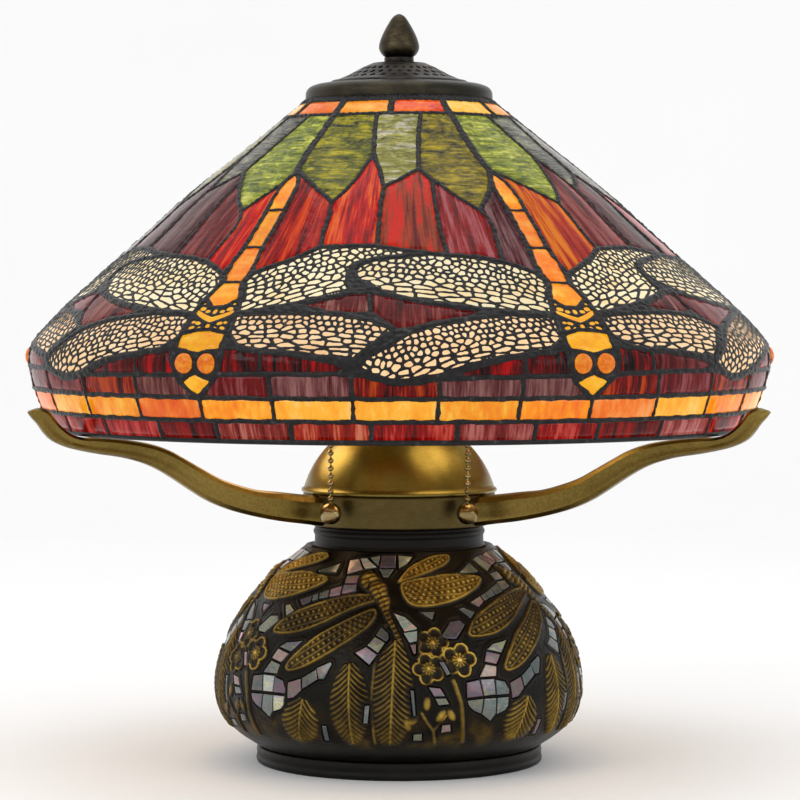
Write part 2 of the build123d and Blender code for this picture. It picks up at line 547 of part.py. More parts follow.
# ---- ring, arms, screws and dome -------------------------------------------
with BuildPart() as arm_ring:
    with BuildSketch(Plane.XZ):
        with BuildLine():
            Polyline((ROD_R + 0.2, RING_Z0), (48.6, RING_Z0), (RING_R0, 131.6), (50.6, 136.0),
                     (52.2, 142.0), (RING_R1, 146.0), (RING_R1, RING_Z1), (47.5, RING_Z1),
                     (46.8, 142.0), (46.2, 133.8), (ROD_R + 0.2, 133.8), (ROD_R + 0.2, RING_Z0))
        make_face()
    revolve(axis=Axis.Z)
    for angle in ARM_ANGLES.values():
        out = Vector(sin(radians(angle)), -cos(radians(angle)), 0)
        for start, radius in ((SCREW_SEAT - 8, 3.9), (SCREW_SEAT - 1, 2.05)):
            with BuildSketch(Plane(origin=out * start + Vector(0, 0, SCREW_Z),
                                   x_dir=Vector(0, 0, 1).cross(out), z_dir=out)):
                Circle(radius)
            extrude(amount=8 if radius > 3 else 12, mode=Mode.SUBTRACT)
write(arm_ring, "arm_ring")

ARM_SIDE = [(44, 147.3), (56.0, 147.9), (67.8, 149.6), (89.0, 152.0), (102.8, 155.6), (111.8, 159.1),
            (124.2, 165.8), (136.0, 172.2), (152.2, 178.3), (170.0, 181.2), (187.5, 182.6),
            (194.3, 182.6), (199.1, 186.0), (205.1, 190.6), (208.6, 196.2), (213.7, 198.3),
            (220.9, 196.6), (218.6, 193.3), (215.3, 190.1), (210.3, 183.9), (206.4, 180.7),
            (198.5, 177.3), (182.1, 173.8), (160.3, 170.0), (144.7, 163.3), (133.6, 156.6),
            (123.0, 149.9), (108.2, 143.0), (96.9, 139.4), (80.0, 135.5), (61.7, 132.7), (44, 131.0)]
for side, angle in ARM_ANGLES.items():
    out = Vector(sin(radians(angle)), -cos(radians(angle)), 0)
    across = Vector(0, 0, 1).cross(out)
    with BuildPart() as arm:
        with BuildSketch(Plane(origin=across * (-ARM_T / 2), x_dir=out, z_dir=across * -1)):
            Polygon(*ARM_SIDE, align=None)
        extrude(amount=-ARM_T)
        with BuildSketch(Plane.XZ):
            with BuildLine():
                Polyline((0, 120), (48.7, 120), (48.7, 130.3), (RING_R0 + 0.1, 131.6), (50.7, 136.0),
                         (52.3, 142.0), (RING_R1 + 0.1, 146.0), (RING_R1 + 0.1, 160), (0, 160), (0, 120))
            make_face()
        revolve(axis=Axis.Z, mode=Mode.SUBTRACT)
        # tapped hole for the screw that comes through the ring
        with BuildSketch(Plane(origin=out * 40 + Vector(0, 0, SCREW_Z), x_dir=across, z_dir=out)):
            Circle(2.05)
        extrude(amount=28, mode=Mode.SUBTRACT)
    write(arm, f"arm_{side}")

with BuildPart() as arm_screws:
    for angle in ARM_ANGLES.values():
        out = Vector(sin(radians(angle)), -cos(radians(angle)), 0)
        across = Vector(0, 0, 1).cross(out)
        with BuildSketch(Plane(origin=out * (SCREW_SEAT - 3) + Vector(0, 0, SCREW_Z), x_dir=across, z_dir=out)):
            Circle(3.6)
        extrude(amount=3.0)
        with BuildSketch(Plane(origin=out * (SCREW_SEAT - 1) + Vector(0, 0, SCREW_Z), x_dir=across, z_dir=out)):
            Circle(1.95)
        extrude(amount=20)
write(arm_screws, "arm_screws")

with BuildPart() as heat_dome:
    with BuildSketch(Plane.XZ):
        with Locations((0, DOME_CZ)):
            Circle(DOME_R)
            Circle(DOME_R - DOME_T, mode=Mode.SUBTRACT)
        with Locations((-100, 100)):
            Rectangle(200, 200, mode=Mode.SUBTRACT)
        with Locations((0, RING_Z1 - 50)):
            Rectangle(200, 100, mode=Mode.SUBTRACT)
        with Locations((0, 190)):
            Rectangle(2 * (ROD_R + 0.2), 20, mode=Mode.SUBTRACT)
    revolve(axis=Axis.Z)
write(heat_dome, "heat_dome")

# ---- lamp cluster, sockets and bulbs ------------------------------------------
with BuildPart() as cluster_body:
    with BuildSketch(Plane.XZ):
        with BuildLine():
            Polyline((ROD_R + 0.2, 206.0), (9.0, 206.0), (11.5, 209.0), (15.0, 212.0), (15.0, 232.0),
                     (12.0, 235.5), (8.0, 238.0), (ROD_R + 0.2, 238.0), (ROD_R + 0.2, 206.0))
        make_face()
    revolve(axis=Axis.Z)
    for sx in (1, -1):
        with BuildSketch(Plane(origin=(0, 0, SOCKET_Z), x_dir=(0, 1, 0),
                               z_dir=(sx * cos(radians(SOCKET_TILT)), 0, sin(radians(SOCKET_TILT)))).offset(8)):
            Circle(5.0)
        extrude(amount=12.0)
    with BuildSketch(Plane.XY.offset(200)):
        Circle(ROD_R + 0.2)
    extrude(amount=40, mode=Mode.SUBTRACT)
write(cluster_body, "cluster_body")


def socket_frame(sx):
    """Plane whose local Y runs outwards along the socket's axis."""
    t = radians(SOCKET_TILT)
    along = Vector(sx * cos(t), 0, sin(t))
    side = Vector(0, 1, 0)
    return Plane(origin=(0, 0, SOCKET_Z), x_dir=side, z_dir=side.cross(along)), along


GUIDE_Z = SOCKET_Z + CHAIN_X * sin(radians(SOCKET_TILT)) / cos(radians(SOCKET_TILT))
for side, sx in (("right", 1), ("left", -1)):
    half_plane, along = socket_frame(sx)
    spin = Axis((0, 0, SOCKET_Z), along)

    with BuildPart() as socket_cap:
        with BuildSketch(half_plane):
            with BuildLine():
                Polyline((5.3, 20.3), (8.0, 20.3), (13.0, 22.0), (16.4, 25.5), (17.2, 31.8),
                         (15.2, 31.8), (14.6, 26.5), (11.5, 23.6), (5.3, 22.4), (5.3, 20.3))
            make_face()
        revolve(axis=spin)
    write(socket_cap, f"socket_cap_{side}")

    with BuildPart() as socket_shell:
        with BuildSketch(half_plane):
            with BuildLine():
                Polyline((15.6, 32.0), (17.4, 32.0), (17.6, 34.5), (16.6, 36.0), (16.6, 60.0),
                         (17.6, 62.0), (17.6, 65.0), (16.2, 65.0), (15.6, 60.0), (15.6, 32.0))
            make_face()
        revolve(axis=spin)
        with BuildSketch(Plane(origin=(sx * CHAIN_X, 0, GUIDE_Z), x_dir=(1, 0, 0), z_dir=(0, -1, 0))):
            Circle(3.35)
        extrude(amount=25, mode=Mode.SUBTRACT)
    write(socket_shell, f"socket_shell_{side}")

    with BuildPart() as socket_core:
        with BuildSketch(half_plane):
            with BuildLine():
                Polyline((0, 24.6), (10.0, 24.6), (13.8, 27.5), (15.2, 32.0), (15.2, 43.0), (14.2, 44.0),
                         (14.2, 62.0), (13.6, 62.0), (13.6, 43.0), (0, 43.0), (0, 24.6))
            make_face()
        revolve(axis=spin)
        with BuildSketch(Plane(origin=(sx * CHAIN_X, 0, GUIDE_Z), x_dir=(1, 0, 0), z_dir=(0, -1, 0))):
            Circle(3.35)
        extrude(amount=25, mode=Mode.SUBTRACT)
    write(socket_core, f"socket_core_{side}")

    # Bent tube that leads the pull chain out of the socket and down.
    with BuildPart() as chain_guide:
        with BuildSketch(Plane(origin=(sx * CHAIN_X, -11, GUIDE_Z), x_dir=(1, 0, 0), z_dir=(0, -1, 0))):
            Circle(2.9)
        extrude(amount=-CHAIN_Y - 11 - 1.0)
        with BuildSketch(Plane(origin=(sx * CHAIN_X, CHAIN_Y, GUIDE_Z + 4.6))):
            Circle(3.7)
        extrude(amount=-13.6)
        with BuildSketch(Plane(origin=(sx * CHAIN_X, CHAIN_Y, GUIDE_Z - 9.0))):
            Circle(3.7)
        with BuildSketch(Plane(origin=(sx * CHAIN_X, CHAIN_Y, GUIDE_Z - 13.0))):
            Circle(4.7)
        loft()
        with BuildSketch(Plane(origin=(sx * CHAIN_X, CHAIN_Y, GUIDE_Z + 1.6))):
            Circle(2.3)
        extrude(amount=-20, mode=Mode.SUBTRACT)
    write(chain_guide, f"chain_guide_{side}")

    with BuildPart() as bulb_base:
        with BuildSketch(half_plane):
            with BuildLine():
                Polyline((0, 43.6), (4.0, 43.6), (5.0, 45.5), (10.5, 48.0), (12.9, 50.0), (12.9, 66.0),
                         (11.9, 66.0), (11.9, 51.0), (4.0, 47.5), (0, 47.5), (0, 43.6))
            make_face()
        revolve(axis=spin)
    write(bulb_base, f"bulb_base_{side}")

    with BuildPart() as bulb:
        with BuildSketch(half_plane):
            with BuildLine():
                outer = Spline((11.7, 60.0), (12.2, 70.0), (17.0, 83.0), (23.4, 100.0), (24.0, 112.0),
                               (19.5, 127.0), (10.0, 134.8), (0, 137.0),
                               tangents=[(0, 1), (-1, 0)])
                Line((0, 137.0), (0, 136.0))
                inner = Spline((0, 136.0), (9.6, 133.9), (18.7, 126.4), (23.0, 111.8), (22.4, 100.2),
                               (16.0, 83.4), (11.2, 70.2), (10.7, 60.0),
                               tangents=[(1, 0), (0, -1)])
                Line((10.7, 60.0), (11.7, 60.0))
            make_face()
        revolve(axis=spin)
    write(bulb, f"bulb_{side}")

    # Beaded pull chain, with its ball.
    with BuildPart() as pull_chain:
        top = GUIDE_Z - 2.0
        low = BALL_Z + BALL_R + 2.2
        count = int((top - low) / BEAD_PITCH)
        spots = [(sx * CHAIN_X, CHAIN_Y, low + BEAD_PITCH * k) for k in range(count + 1)]
        with BuildSketch(Plane(origin=(sx * CHAIN_X, CHAIN_Y, low - 2.4))):
            Circle(0.5)
        extrude(amount=count * BEAD_PITCH + 2.4)
        with Locations(*spots):
            Sphere(BEAD_R)
    write(pull_chain, f"pull_chain_{side}")

    with BuildPart() as pull_ball:
        with Locations((sx * CHAIN_X, CHAIN_Y, BALL_Z)):
            Sphere(BALL_R)
        with BuildSketch(Plane(origin=(sx * CHAIN_X, CHAIN_Y, low - 2.45))):
            Circle(2.0)
        extrude(amount=-2.2)
        with BuildSketch(Plane(origin=(sx * CHAIN_X, CHAIN_Y, low - 2.4))):
            Circle(0.55)
        extrude(amount=-3.0, mode=Mode.SUBTRACT)
    write(pull_ball, f"pull_ball_{side}")
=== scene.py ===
import bpy, math
import numpy as np
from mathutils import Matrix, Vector
from mathutils.geometry import delaunay_2d_cdt


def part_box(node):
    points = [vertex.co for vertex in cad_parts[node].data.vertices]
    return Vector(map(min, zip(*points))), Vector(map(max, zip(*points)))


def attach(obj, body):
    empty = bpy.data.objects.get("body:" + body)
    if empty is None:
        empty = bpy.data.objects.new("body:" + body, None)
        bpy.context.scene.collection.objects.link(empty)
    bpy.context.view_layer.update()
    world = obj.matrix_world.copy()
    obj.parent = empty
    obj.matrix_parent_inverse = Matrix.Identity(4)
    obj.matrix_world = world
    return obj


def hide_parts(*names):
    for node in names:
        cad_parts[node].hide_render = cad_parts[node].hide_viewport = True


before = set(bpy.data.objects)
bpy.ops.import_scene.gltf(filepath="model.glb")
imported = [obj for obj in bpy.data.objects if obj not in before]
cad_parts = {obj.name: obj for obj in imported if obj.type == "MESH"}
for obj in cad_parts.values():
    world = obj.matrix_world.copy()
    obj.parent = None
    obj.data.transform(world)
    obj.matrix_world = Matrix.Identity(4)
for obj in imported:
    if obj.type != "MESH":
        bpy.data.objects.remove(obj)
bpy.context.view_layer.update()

rng = np.random.default_rng(7)
COL = bpy.context.scene.collection

# =====================================================================
# small helpers
# =====================================================================
def mesh_obj(name, V, F, smooth=True):
    """Mesh from millimetre vertices and quad or triangle faces."""
    V = np.asarray(V, dtype=np.float64) / 1000.0
    me = bpy.data.meshes.new(name)
    if isinstance(F, np.ndarray):
        n, k = F.shape
        me.vertices.add(len(V)); me.vertices.foreach_set("co", V.astype(np.float32).ravel())
        me.loops.add(n * k); me.loops.foreach_set("vertex_index", F.astype(np.int32).ravel())
        me.polygons.add(n)
        me.polygons.foreach_set("loop_start", np.arange(0, n * k, k, dtype=np.int32))
        me.polygons.foreach_set("loop_total", np.full(n, k, dtype=np.int32))
        me.update(calc_edges=True)
    else:
        me.from_pydata([tuple(v) for v in V], [], F)
    me.validate(clean_customdata=False)
    me.polygons.foreach_set("use_smooth", [smooth] * len(me.polygons))
    ob = bpy.data.objects.new(name, me)
    COL.objects.link(ob)
    return ob


def attr(ob, name, data):
    """Per-vertex attribute: N floats, or N x 3 values stored as a colour."""
    me = ob.data
    data = np.asarray(data, dtype=np.float32)
    if data.ndim == 1:
        a = me.attributes.new(name, 'FLOAT', 'POINT'); a.data.foreach_set("value", data)
    else:
        if data.shape[1] == 3:
            data = np.c_[data, np.ones(len(data), np.float32)]
        a = me.attributes.new(name, 'FLOAT_COLOR', 'POINT'); a.data.foreach_set("color", data.ravel())


def sheet_faces(keep):
    """Closed slab topology from a mask of grid cells: faces index the outer
    grid first, then the inner grid."""
    R, C = keep.shape
    idx = np.arange((R + 1) * (C + 1)).reshape(R + 1, C + 1)
    N = idx.size
    i, j = np.nonzero(keep)
    a, b, c, d = idx[i, j], idx[i, j + 1], idx[i + 1, j + 1], idx[i + 1, j]
    out = [np.c_[a, d, c, b], np.c_[a + N, b + N, c + N, d + N]]
    P = np.pad(keep, 1)
    up, dn = ~P[i, j + 1], ~P[i + 2, j + 1]
    lf, rt = ~P[i + 1, j], ~P[i + 1, j + 2]
    for m, p, q in ((up, a, b), (rt, b, c), (dn, c, d), (lf, d, a)):
        p, q = p[m], q[m]
        out.append(np.c_[p, q, q + N, p + N])
    F = np.concatenate(out)
    used, inv = np.unique(F, return_inverse=True)
    return used, inv.reshape(F.shape)


def wave_noise(x, y, size, seed, n=9):
    """Smooth, repeatable value in about -1..1."""
    r = np.random.default_rng(seed)
    out = np.zeros(np.broadcast(x, y).shape)
    for _ in range(n):
        t = r.uniform(0, 2 * np.pi); f = r.uniform(0.5, 1.5) * 2 * np.pi / size
        out = out + np.sin(f * (x * np.cos(t) + y * np.sin(t)) + r.uniform(0, 2 * np.pi))
    return out / np.sqrt(n / 2) / 1.7


def seg_dist(X, Y, segs, block=200):
    """Distance from points to the nearest of many segments, less each
    segment's own half width."""
    x, y = X.ravel(), Y.ravel()
    best = np.full(x.shape, 1e9)
    for x0, y0, x1, y1, w in segs:
        dx, dy = x1 - x0, y1 - y0
        L = dx * dx + dy * dy + 1e-9
        lo, hi = min(y0, y1) - 9, max(y0, y1) + 9
        m = (y > lo) & (y < hi) & (x > min(x0, x1) - 9) & (x < max(x0, x1) + 9)
        if not m.any():
            continue
        px, py = x[m] - x0, y[m] - y0
        t = np.clip((px * dx + py * dy) / L, 0, 1)
        d = np.hypot(px - t * dx, py - t * dy) - w
        best[m] = np.minimum(best[m], d)
    return best.reshape(X.shape)


def in_poly(X, Y, poly):
    hit = np.zeros(X.shape, bool)
    n = len(poly)
    for k in range(n):
        x0, y0 = poly[k]; x1, y1 = poly[(k + 1) % n]
        if y0 == y1:
            continue
        m = ((y0 > Y) != (y1 > Y)) & (X < (x1 - x0) * (Y - y0) / (y1 - y0) + x0)
        hit ^= m
    return hit


def densify(poly, step):
    out = []
    for (x0, y0), (x1, y1) in zip(poly, poly[1:] + poly[:1]):
        n = max(1, int(math.hypot(x1 - x0, y1 - y0) / step))
        out += [(x0 + (x1 - x0) * k / n, y0 + (y1 - y0) * k / n) for k in range(n)]
    return out


def inset(poly, amount):
    P = np.array(poly); n = len(P)
    a = np.sum(P[:, 0] * np.roll(P[:, 1], -1) - np.roll(P[:, 0], -1) * P[:, 1])
    T0 = P - np.roll(P, 1, 0); T1 = np.roll(P, -1, 0) - P
    T0 /= np.linalg.norm(T0, axis=1)[:, None] + 1e-9; T1 /= np.linalg.norm(T1, axis=1)[:, None] + 1e-9
    N0 = np.c_[-T0[:, 1], T0[:, 0]]; N1 = np.c_[-T1[:, 1], T1[:, 0]]
    M = N0 + N1; M /= np.linalg.norm(M, axis=1)[:, None] + 1e-9
    k = amount / np.clip(np.sum(M * N1, axis=1), 0.5, 1)
    return P + (1 if a > 0 else -1) * M * k[:, None]


# =====================================================================
# the shade's surface
# =====================================================================
PROF = np.array([(50.6, 363.4), (58.5, 356.8), (79.1, 340.2), (100.2, 323.7), (120.4, 307.2), (138.1, 290.7),
                 (156.4, 274.3), (175, 257.9), (191.5, 241.7), (199.3, 233), (202.3, 228.7), (203.3, 222.2),
                 (202.6, 215.7), (200.8, 207), (196.6, 195.4), (192.6, 185.7)], float)
_L = np.concatenate([[0], np.cumsum(np.hypot(*np.diff(PROF, axis=0).T))])
_S = np.arange(-10, _L[-1] + 10, 0.5)
def _ext(k):
    v = np.interp(_S, _L, PROF[:, k])
    a = (PROF[1, k] - PROF[0, k]) / (_L[1] - _L[0]); b = (PROF[-1, k] - PROF[-2, k]) / (_L[-1] - _L[-2])
    v = np.where(_S < 0, PROF[0, k] + a * _S, v)
    v = np.where(_S > _L[-1], PROF[-1, k] + b * (_S - _L[-1]), v)
    g = np.exp(-0.5 * (np.arange(-16, 17) / 7.0) ** 2); g /= g.sum()
    w = np.pad(v, 16, mode='reflect', reflect_type='odd')
    return np.convolve(w, g, mode='valid')
_R, _Z = _ext(0), _ext(1)
_tr, _tz = np.gradient(_R, _S), np.gradient(_Z, _S)
S_END = 248.6

def prof(s):
    r, z = np.interp(s, _S, _R), np.interp(s, _S, _Z)
    a, b = np.interp(s, _S, _tr), np.interp(s, _S, _tz)
    n = np.hypot(a, b)
    return r, z, -b / n, a / n

# spacing of the six repeats
AX = np.array([-29.8, 28.4, 88.9, 149.5, 210.1, 270.2, 330.2])
def warp(g):
    g = np.asarray(g, float); k = np.floor(g / 60.0)
    f = g / 60.0 - k; i = np.mod(k, 6).astype(int); turns = np.floor(k / 6) * 360.0
    return AX[i] + f * (AX[i + 1] - AX[i]) + turns

def shade_pt(g, s, h):
    """Point h millimetres proud of the shade's outer face."""
    g, s, h = np.broadcast_arrays(np.asarray(g, float), np.asarray(s, float), np.asarray(h, float))
    r, z, nr, nz = prof(s)
    t = np.radians(warp(g))
    # a hand-built shade is never quite true
    w = 0.35 * np.sin(t * 3 + s * 0.02) + 0.25 * np.sin(t * 5 - s * 0.035 + 1.0)
    r = r + (h + w * 0.5) * nr; z = z + (h + w * 0.5) * nz
    return np.stack([r * np.sin(t), -r * np.cos(t), z], -1)

BAND = [[(-3.3, 3.6), (26.4, 3.6), (26.4, 16.4), (-3.3, 16.4)],
        [(26.4, 3.6), (56.7, 3.6), (56.7, 16.4), (26.4, 16.4)]]
LEAF = [[(-3.0, 16.4), (19.6, 16.4), (20.6, 30), (21.4, 42), (22.1, 52), (20.9, 60), (19.6, 68),
         (18.0, 78), (16.3, 86), (14.0, 93.5), (10.8, 87), (7.0, 80), (2.4, 72), (-1.3, 66.5),
         (-2.3, 60), (-2.7, 45)],
        [(19.6, 16.4), (41.3, 16.4), (39.5, 28), (38.2, 38), (37.5, 50), (36.6, 66.5),
         (33.3, 71), (30.2, 76), (26.6, 81), (25.1, 68), (23.5, 60), (22.1, 52), (21.4, 42), (20.6, 30)],
        [(41.3, 16.4), (57.0, 16.4), (57.3, 45), (57.7, 60), (58.7, 66.5), (56.8, 77),
         (54.9, 85), (52.4, 93), (50.2, 100), (46.2, 91), (43.1, 83), (40.3, 75), (36.6, 66.5),
         (37.5, 50), (38.2, 38), (39.5, 28)]]
RAY = [[(-0.4, 69.5), (2.4, 72), (7.0, 80), (10.8, 87), (14.0, 93.5), (14.5, 103), (14.4, 116),
        (14.8, 128.3), (13.2, 131.5), (10.1, 137), (6.5, 142.8), (3.2, 148), (2.6, 140),
        (2.3, 127), (2.5, 112), (2.4, 98), (2.3, 84), (1.7, 77)],
       [(22.1, 52), (23.5, 60), (25.1, 68), (26.6, 81), (26.2, 98), (26.3, 112), (26.4, 127.5), (20.4, 127.5),
        (14.8, 128.3), (14.4, 116), (14.5, 103), (14.0, 93.5), (16.3, 86), (18.0, 78), (19.6, 68), (20.9, 60)],
       [(26.6, 81), (30.2, 76), (33.3, 71), (36.6, 66.5), (39.9, 76.0), (39.7, 88), (39.5, 100), (39.6, 113),
        (40.2, 134.2), (35.9, 132), (30.7, 130.2), (26.4, 127.5), (26.3, 112), (26.2, 98)],
       [(39.9, 76.0), (43.1, 83), (46.2, 91), (50.2, 100), (51.4, 106), (51.8, 113), (51.4, 124), (50.8, 138.6),
        (46.2, 135.3), (40.2, 134.2), (39.6, 113), (39.5, 100), (39.7, 88)],
       [(50.2, 100), (52.4, 93), (54.9, 85), (56.8, 77), (57.0, 84), (57.4, 98), (57.6, 112), (57.6, 127),
        (57.2, 140), (56.8, 148), (53.4, 142.3), (50.8, 138.6), (51.4, 124), (51.8, 113), (51.4, 106)]]
BODY = [[(-1.3, 69.5), (0.3, 72), (1.6, 77), (2.2, 84), (2.3, 92), (2.2, 99.6), (-2.1, 99.6), (-2.7, 92),
         (-3.0, 84), (-2.6, 77)],
        [(-2.1, 99.6), (2.2, 99.6), (2.2, 113), (1.9, 128.2), (-1.9, 128.2), (-2.1, 113)],
        [(-1.9, 128.2), (1.9, 128.2), (2.5, 140), (2.3, 149), (2.0, 154.8), (-1.7, 154.8), (-2.2, 149), (-2.5, 140)],
        [(-1.7, 154.8), (2.0, 154.8), (3.4, 166.5), (1.0, 172.8), (-1.1, 172.8), (-3.3, 166.5)],
        [(-4.0, 192), (-1.2, 188.9), (1.2, 188.8), (3.9, 191), (3.7, 201), (0.2, 203.8), (-3.7, 201)],
        [(-3.0, 218.3), (0.0, 213.6), (2.8, 217.9), (0.1, 226.0)]]
BODYNET = [[(-3.3, 166.5), (-1.1, 172.8), (1.0, 172.8), (3.4, 166.5), (4.0, 178),
            (3.9, 191), (1.2, 188.8), (-1.2, 188.9), (-4.0, 192), (-4.0, 178)]]
EYES = [(-1.9, 208.8), (1.9, 208.8)]
EYE_R = 5.0
WING = [[(3.2, 148), (6.5, 142.8), (10.1, 137), (13.2, 131.5), (14.8, 128.3), (20.4, 127.5),
         (26.4, 127.5), (30.7, 130.2), (36.5, 132.6), (31.0, 135.0), (26.0, 137.2), (22.4, 141.0), (21.7, 148),
         (21.8, 156), (22.8, 162), (19.4, 165.5), (14.2, 170), (9.1, 174), (4.0, 177.3),
         (3.4, 166.5), (2.2, 156)],
        [(56.8, 148), (57.9, 156), (56.7, 166.5), (56.0, 177.8), (50.3, 176.2), (44.1, 174),
         (39.0, 171.3), (33.8, 168.2), (28.7, 163.5), (26.2, 159), (23.4, 153.5),
         (22.4, 147), (23.2, 141.8), (26.0, 137.6), (31.0, 135.2), (36.5, 132.9),
         (41.0, 134.2), (46.2, 135.3), (50.8, 138.6), (53.4, 142.3)],
        [(4.0, 178.4), (10.1, 176.8), (18.4, 176.5), (22.5, 178), (26.6, 181.5), (29.3, 186),
         (29.9, 189.5), (28.3, 193), (27.1, 197.5), (25.4, 203.5), (24.2, 207.5),
         (20.4, 205.8), (15.3, 203), (10.1, 201.8), (6.5, 199.5), (4.3, 192)],
        [(56.0, 179.0), (49.3, 176.6), (46.2, 178.5), (41.0, 181), (35.9, 184.5), (32.8, 189),
         (30.7, 193.5), (28.7, 199), (26.1, 204.5), (24.4, 209.5), (26.4, 214), (29.7, 217.6),
         (33.8, 217), (36.9, 214.5), (41.0, 209.6), (45.2, 206), (49.3, 204), (53.4, 201.5),
         (55.9, 194)]]
GROUND = [[(14.8, 171.5), (19.4, 166.5), (22.8, 163), (25.6, 162.5), (26.4, 177), (22.5, 177.4),
           (18.4, 175.6)],
          [(25.6, 162.5), (28.7, 164.5), (33.8, 169), (39.0, 172.3), (45.0, 175.8), (41.0, 180),
           (35.9, 183.5), (32.5, 187.5), (30.5, 188.5), (29.0, 184.5), (26.4, 177)],
          [(4.4, 199.5), (6.5, 200.5), (10.4, 202.3), (10.5, 213.8), (3.6, 214.5), (4.3, 207)],
          [(10.4, 202.3), (15.3, 204), (20.4, 207), (23.6, 210.5), (22.0, 213.8), (10.5, 213.8)],
          [(37.5, 216), (41.0, 210.8), (45.2, 207), (48.9, 205), (49.2, 215.1)],
          [(48.9, 205), (53.4, 202.5), (55.6, 200.5), (55.7, 207), (56.6, 214.8), (49.2, 215.1)]]
UPPER = [[(3.6, 214.5), (11.7, 213.8), (11.8, 226.3), (0.3, 226.3), (2.8, 217.9)],
         [(11.7, 213.8), (23.9, 213.8), (24.0, 226.3), (11.8, 226.3)],
         [(23.9, 213.8), (26.4, 215), (29.7, 218.6), (33.8, 218), (36.4, 215.8), (36.6, 226.3),
          (24.0, 226.3)],
         [(36.4, 215.8), (48.8, 215.2), (48.9, 226.3), (36.6, 226.3)],
         [(48.8, 215.2), (56.6, 214.8), (57.0, 218.3), (59.9, 226.3), (48.9, 226.3)]]
AMB_X = [0.2, 12.0, 24.0, 36.4, 48.6, 60.2]
LOW_X = [2.2, 14.4, 26.6, 39.4, 51.6, 62.2]
AMBER = [[(a, 226.3), (b, 226.3), (b, 238.6), (a, 238.6)] for a, b in zip(AMB_X, AMB_X[1:])]
LOWER = [[(a, 238.6), (b, 238.6), (b, 248.9), (a, 248.9)] for a, b in zip(LOW_X, LOW_X[1:])]

# half widths of the solder, in millimetres
SETS = [("top_band_glass", BAND, 1.5), ("leaf_glass", LEAF, 1.45), ("ray_glass", RAY, 1.35),
        ("dragonfly_body_glass", BODY, 1.05), ("thorax", BODYNET, 1.1), ("wing_glass", WING, 1.75),
        ("ground_glass", GROUND, 1.3), ("border_upper_glass", UPPER, 1.35),
        ("border_amber_glass", AMBER, 1.15), ("border_lower_glass", LOWER, 1.35)]

def lead_segments():
    segs = []
    def add(p0, p1, w):
        n = max(1, int(abs(p1[0] - p0[0]) / 3) + 1)
        for k in range(n):
            a = (p0[0] + (p1[0] - p0[0]) * k / n, p0[1] + (p1[1] - p0[1]) * k / n)
            b = (p0[0] + (p1[0] - p0[0]) * (k + 1) / n, p0[1] + (p1[1] - p0[1]) * (k + 1) / n)
            for turn in (-60, 0, 60):
                segs.append((a[0] + turn, a[1], b[0] + turn, b[1], w))
    for _, polys, w in SETS:
        for poly in polys:
            for p0, p1 in zip(poly, poly[1:] + poly[:1]):
                if p0[1] > 248.5 and p1[1] > 248.5:
                    continue
                add(p0, p1, w)
    # broad solder down the middle of the leaves, at the top and the bottom
    for a, b, w in (((-3.0, 16.4), (-2.6, 50), 2.5), ((-2.6, 50), (-1.3, 68), 2.4),
                    ((26.4, 3.6), (26.4, 16.4), 2.0), ((-3.3, 3.6), (-3.3, 16.4), 2.3),
                    ((22.1, 143), (22.3, 162), 2.0), ((23.0, 162), (26.0, 160), 2.0),
                    ((4.0, 177.8), (14.5, 173.6), 2.6), ((56.0, 178.2), (45.5, 176.0), 2.6),
                    ((26.2, 203), (29.6, 192), 2.0), ((29.8, 190), (31.5, 189), 2.2)):
        add(a, b, w)
    return segs

SEGS = lead_segments()
eye_c = [(p + t, s) for p, s in EYES for t in (-60, 0, 60)]

def lead_e(PH, SS):
    """Signed distance from the solder's edge; negative on the solder."""
    r = prof(SS)[0]
    mm = r * math.pi / 180.0
    x, y = PH, SS
    best = np.full(PH.shape, 1e9)
    for x0, y0, x1, y1, w in SEGS:
        m = (y > min(y0, y1) - 8) & (y < max(y0, y1) + 8) & (x > min(x0, x1) - 8) & (x < max(x0, x1) + 8)
        if not m.any():
            continue
        k = mm[m]
        px, py = (x[m] - x0) * k, y[m] - y0
        dx, dy = (x1 - x0) * k, y1 - y0
        t = np.clip((px * dx + py * dy) / (dx * dx + dy * dy + 1e-9), 0, 1)
        best[m] = np.minimum(best[m], np.hypot(px - t * dx, py - t * dy) - w)
    for cx, cy in eye_c:
        m = (abs(y - cy) < 14) & (abs(x - cx) < 5)
        if m.any():
            d = np.hypot((x[m] - cx) * mm[m], y[m] - cy)
            ring = np.abs(d - EYE_R - 0.9) - 1.3
            best[m] = np.where(d < EYE_R - 0.2, 2.0, np.minimum(best[m], ring))
    return best

GLASS_H = -0.55
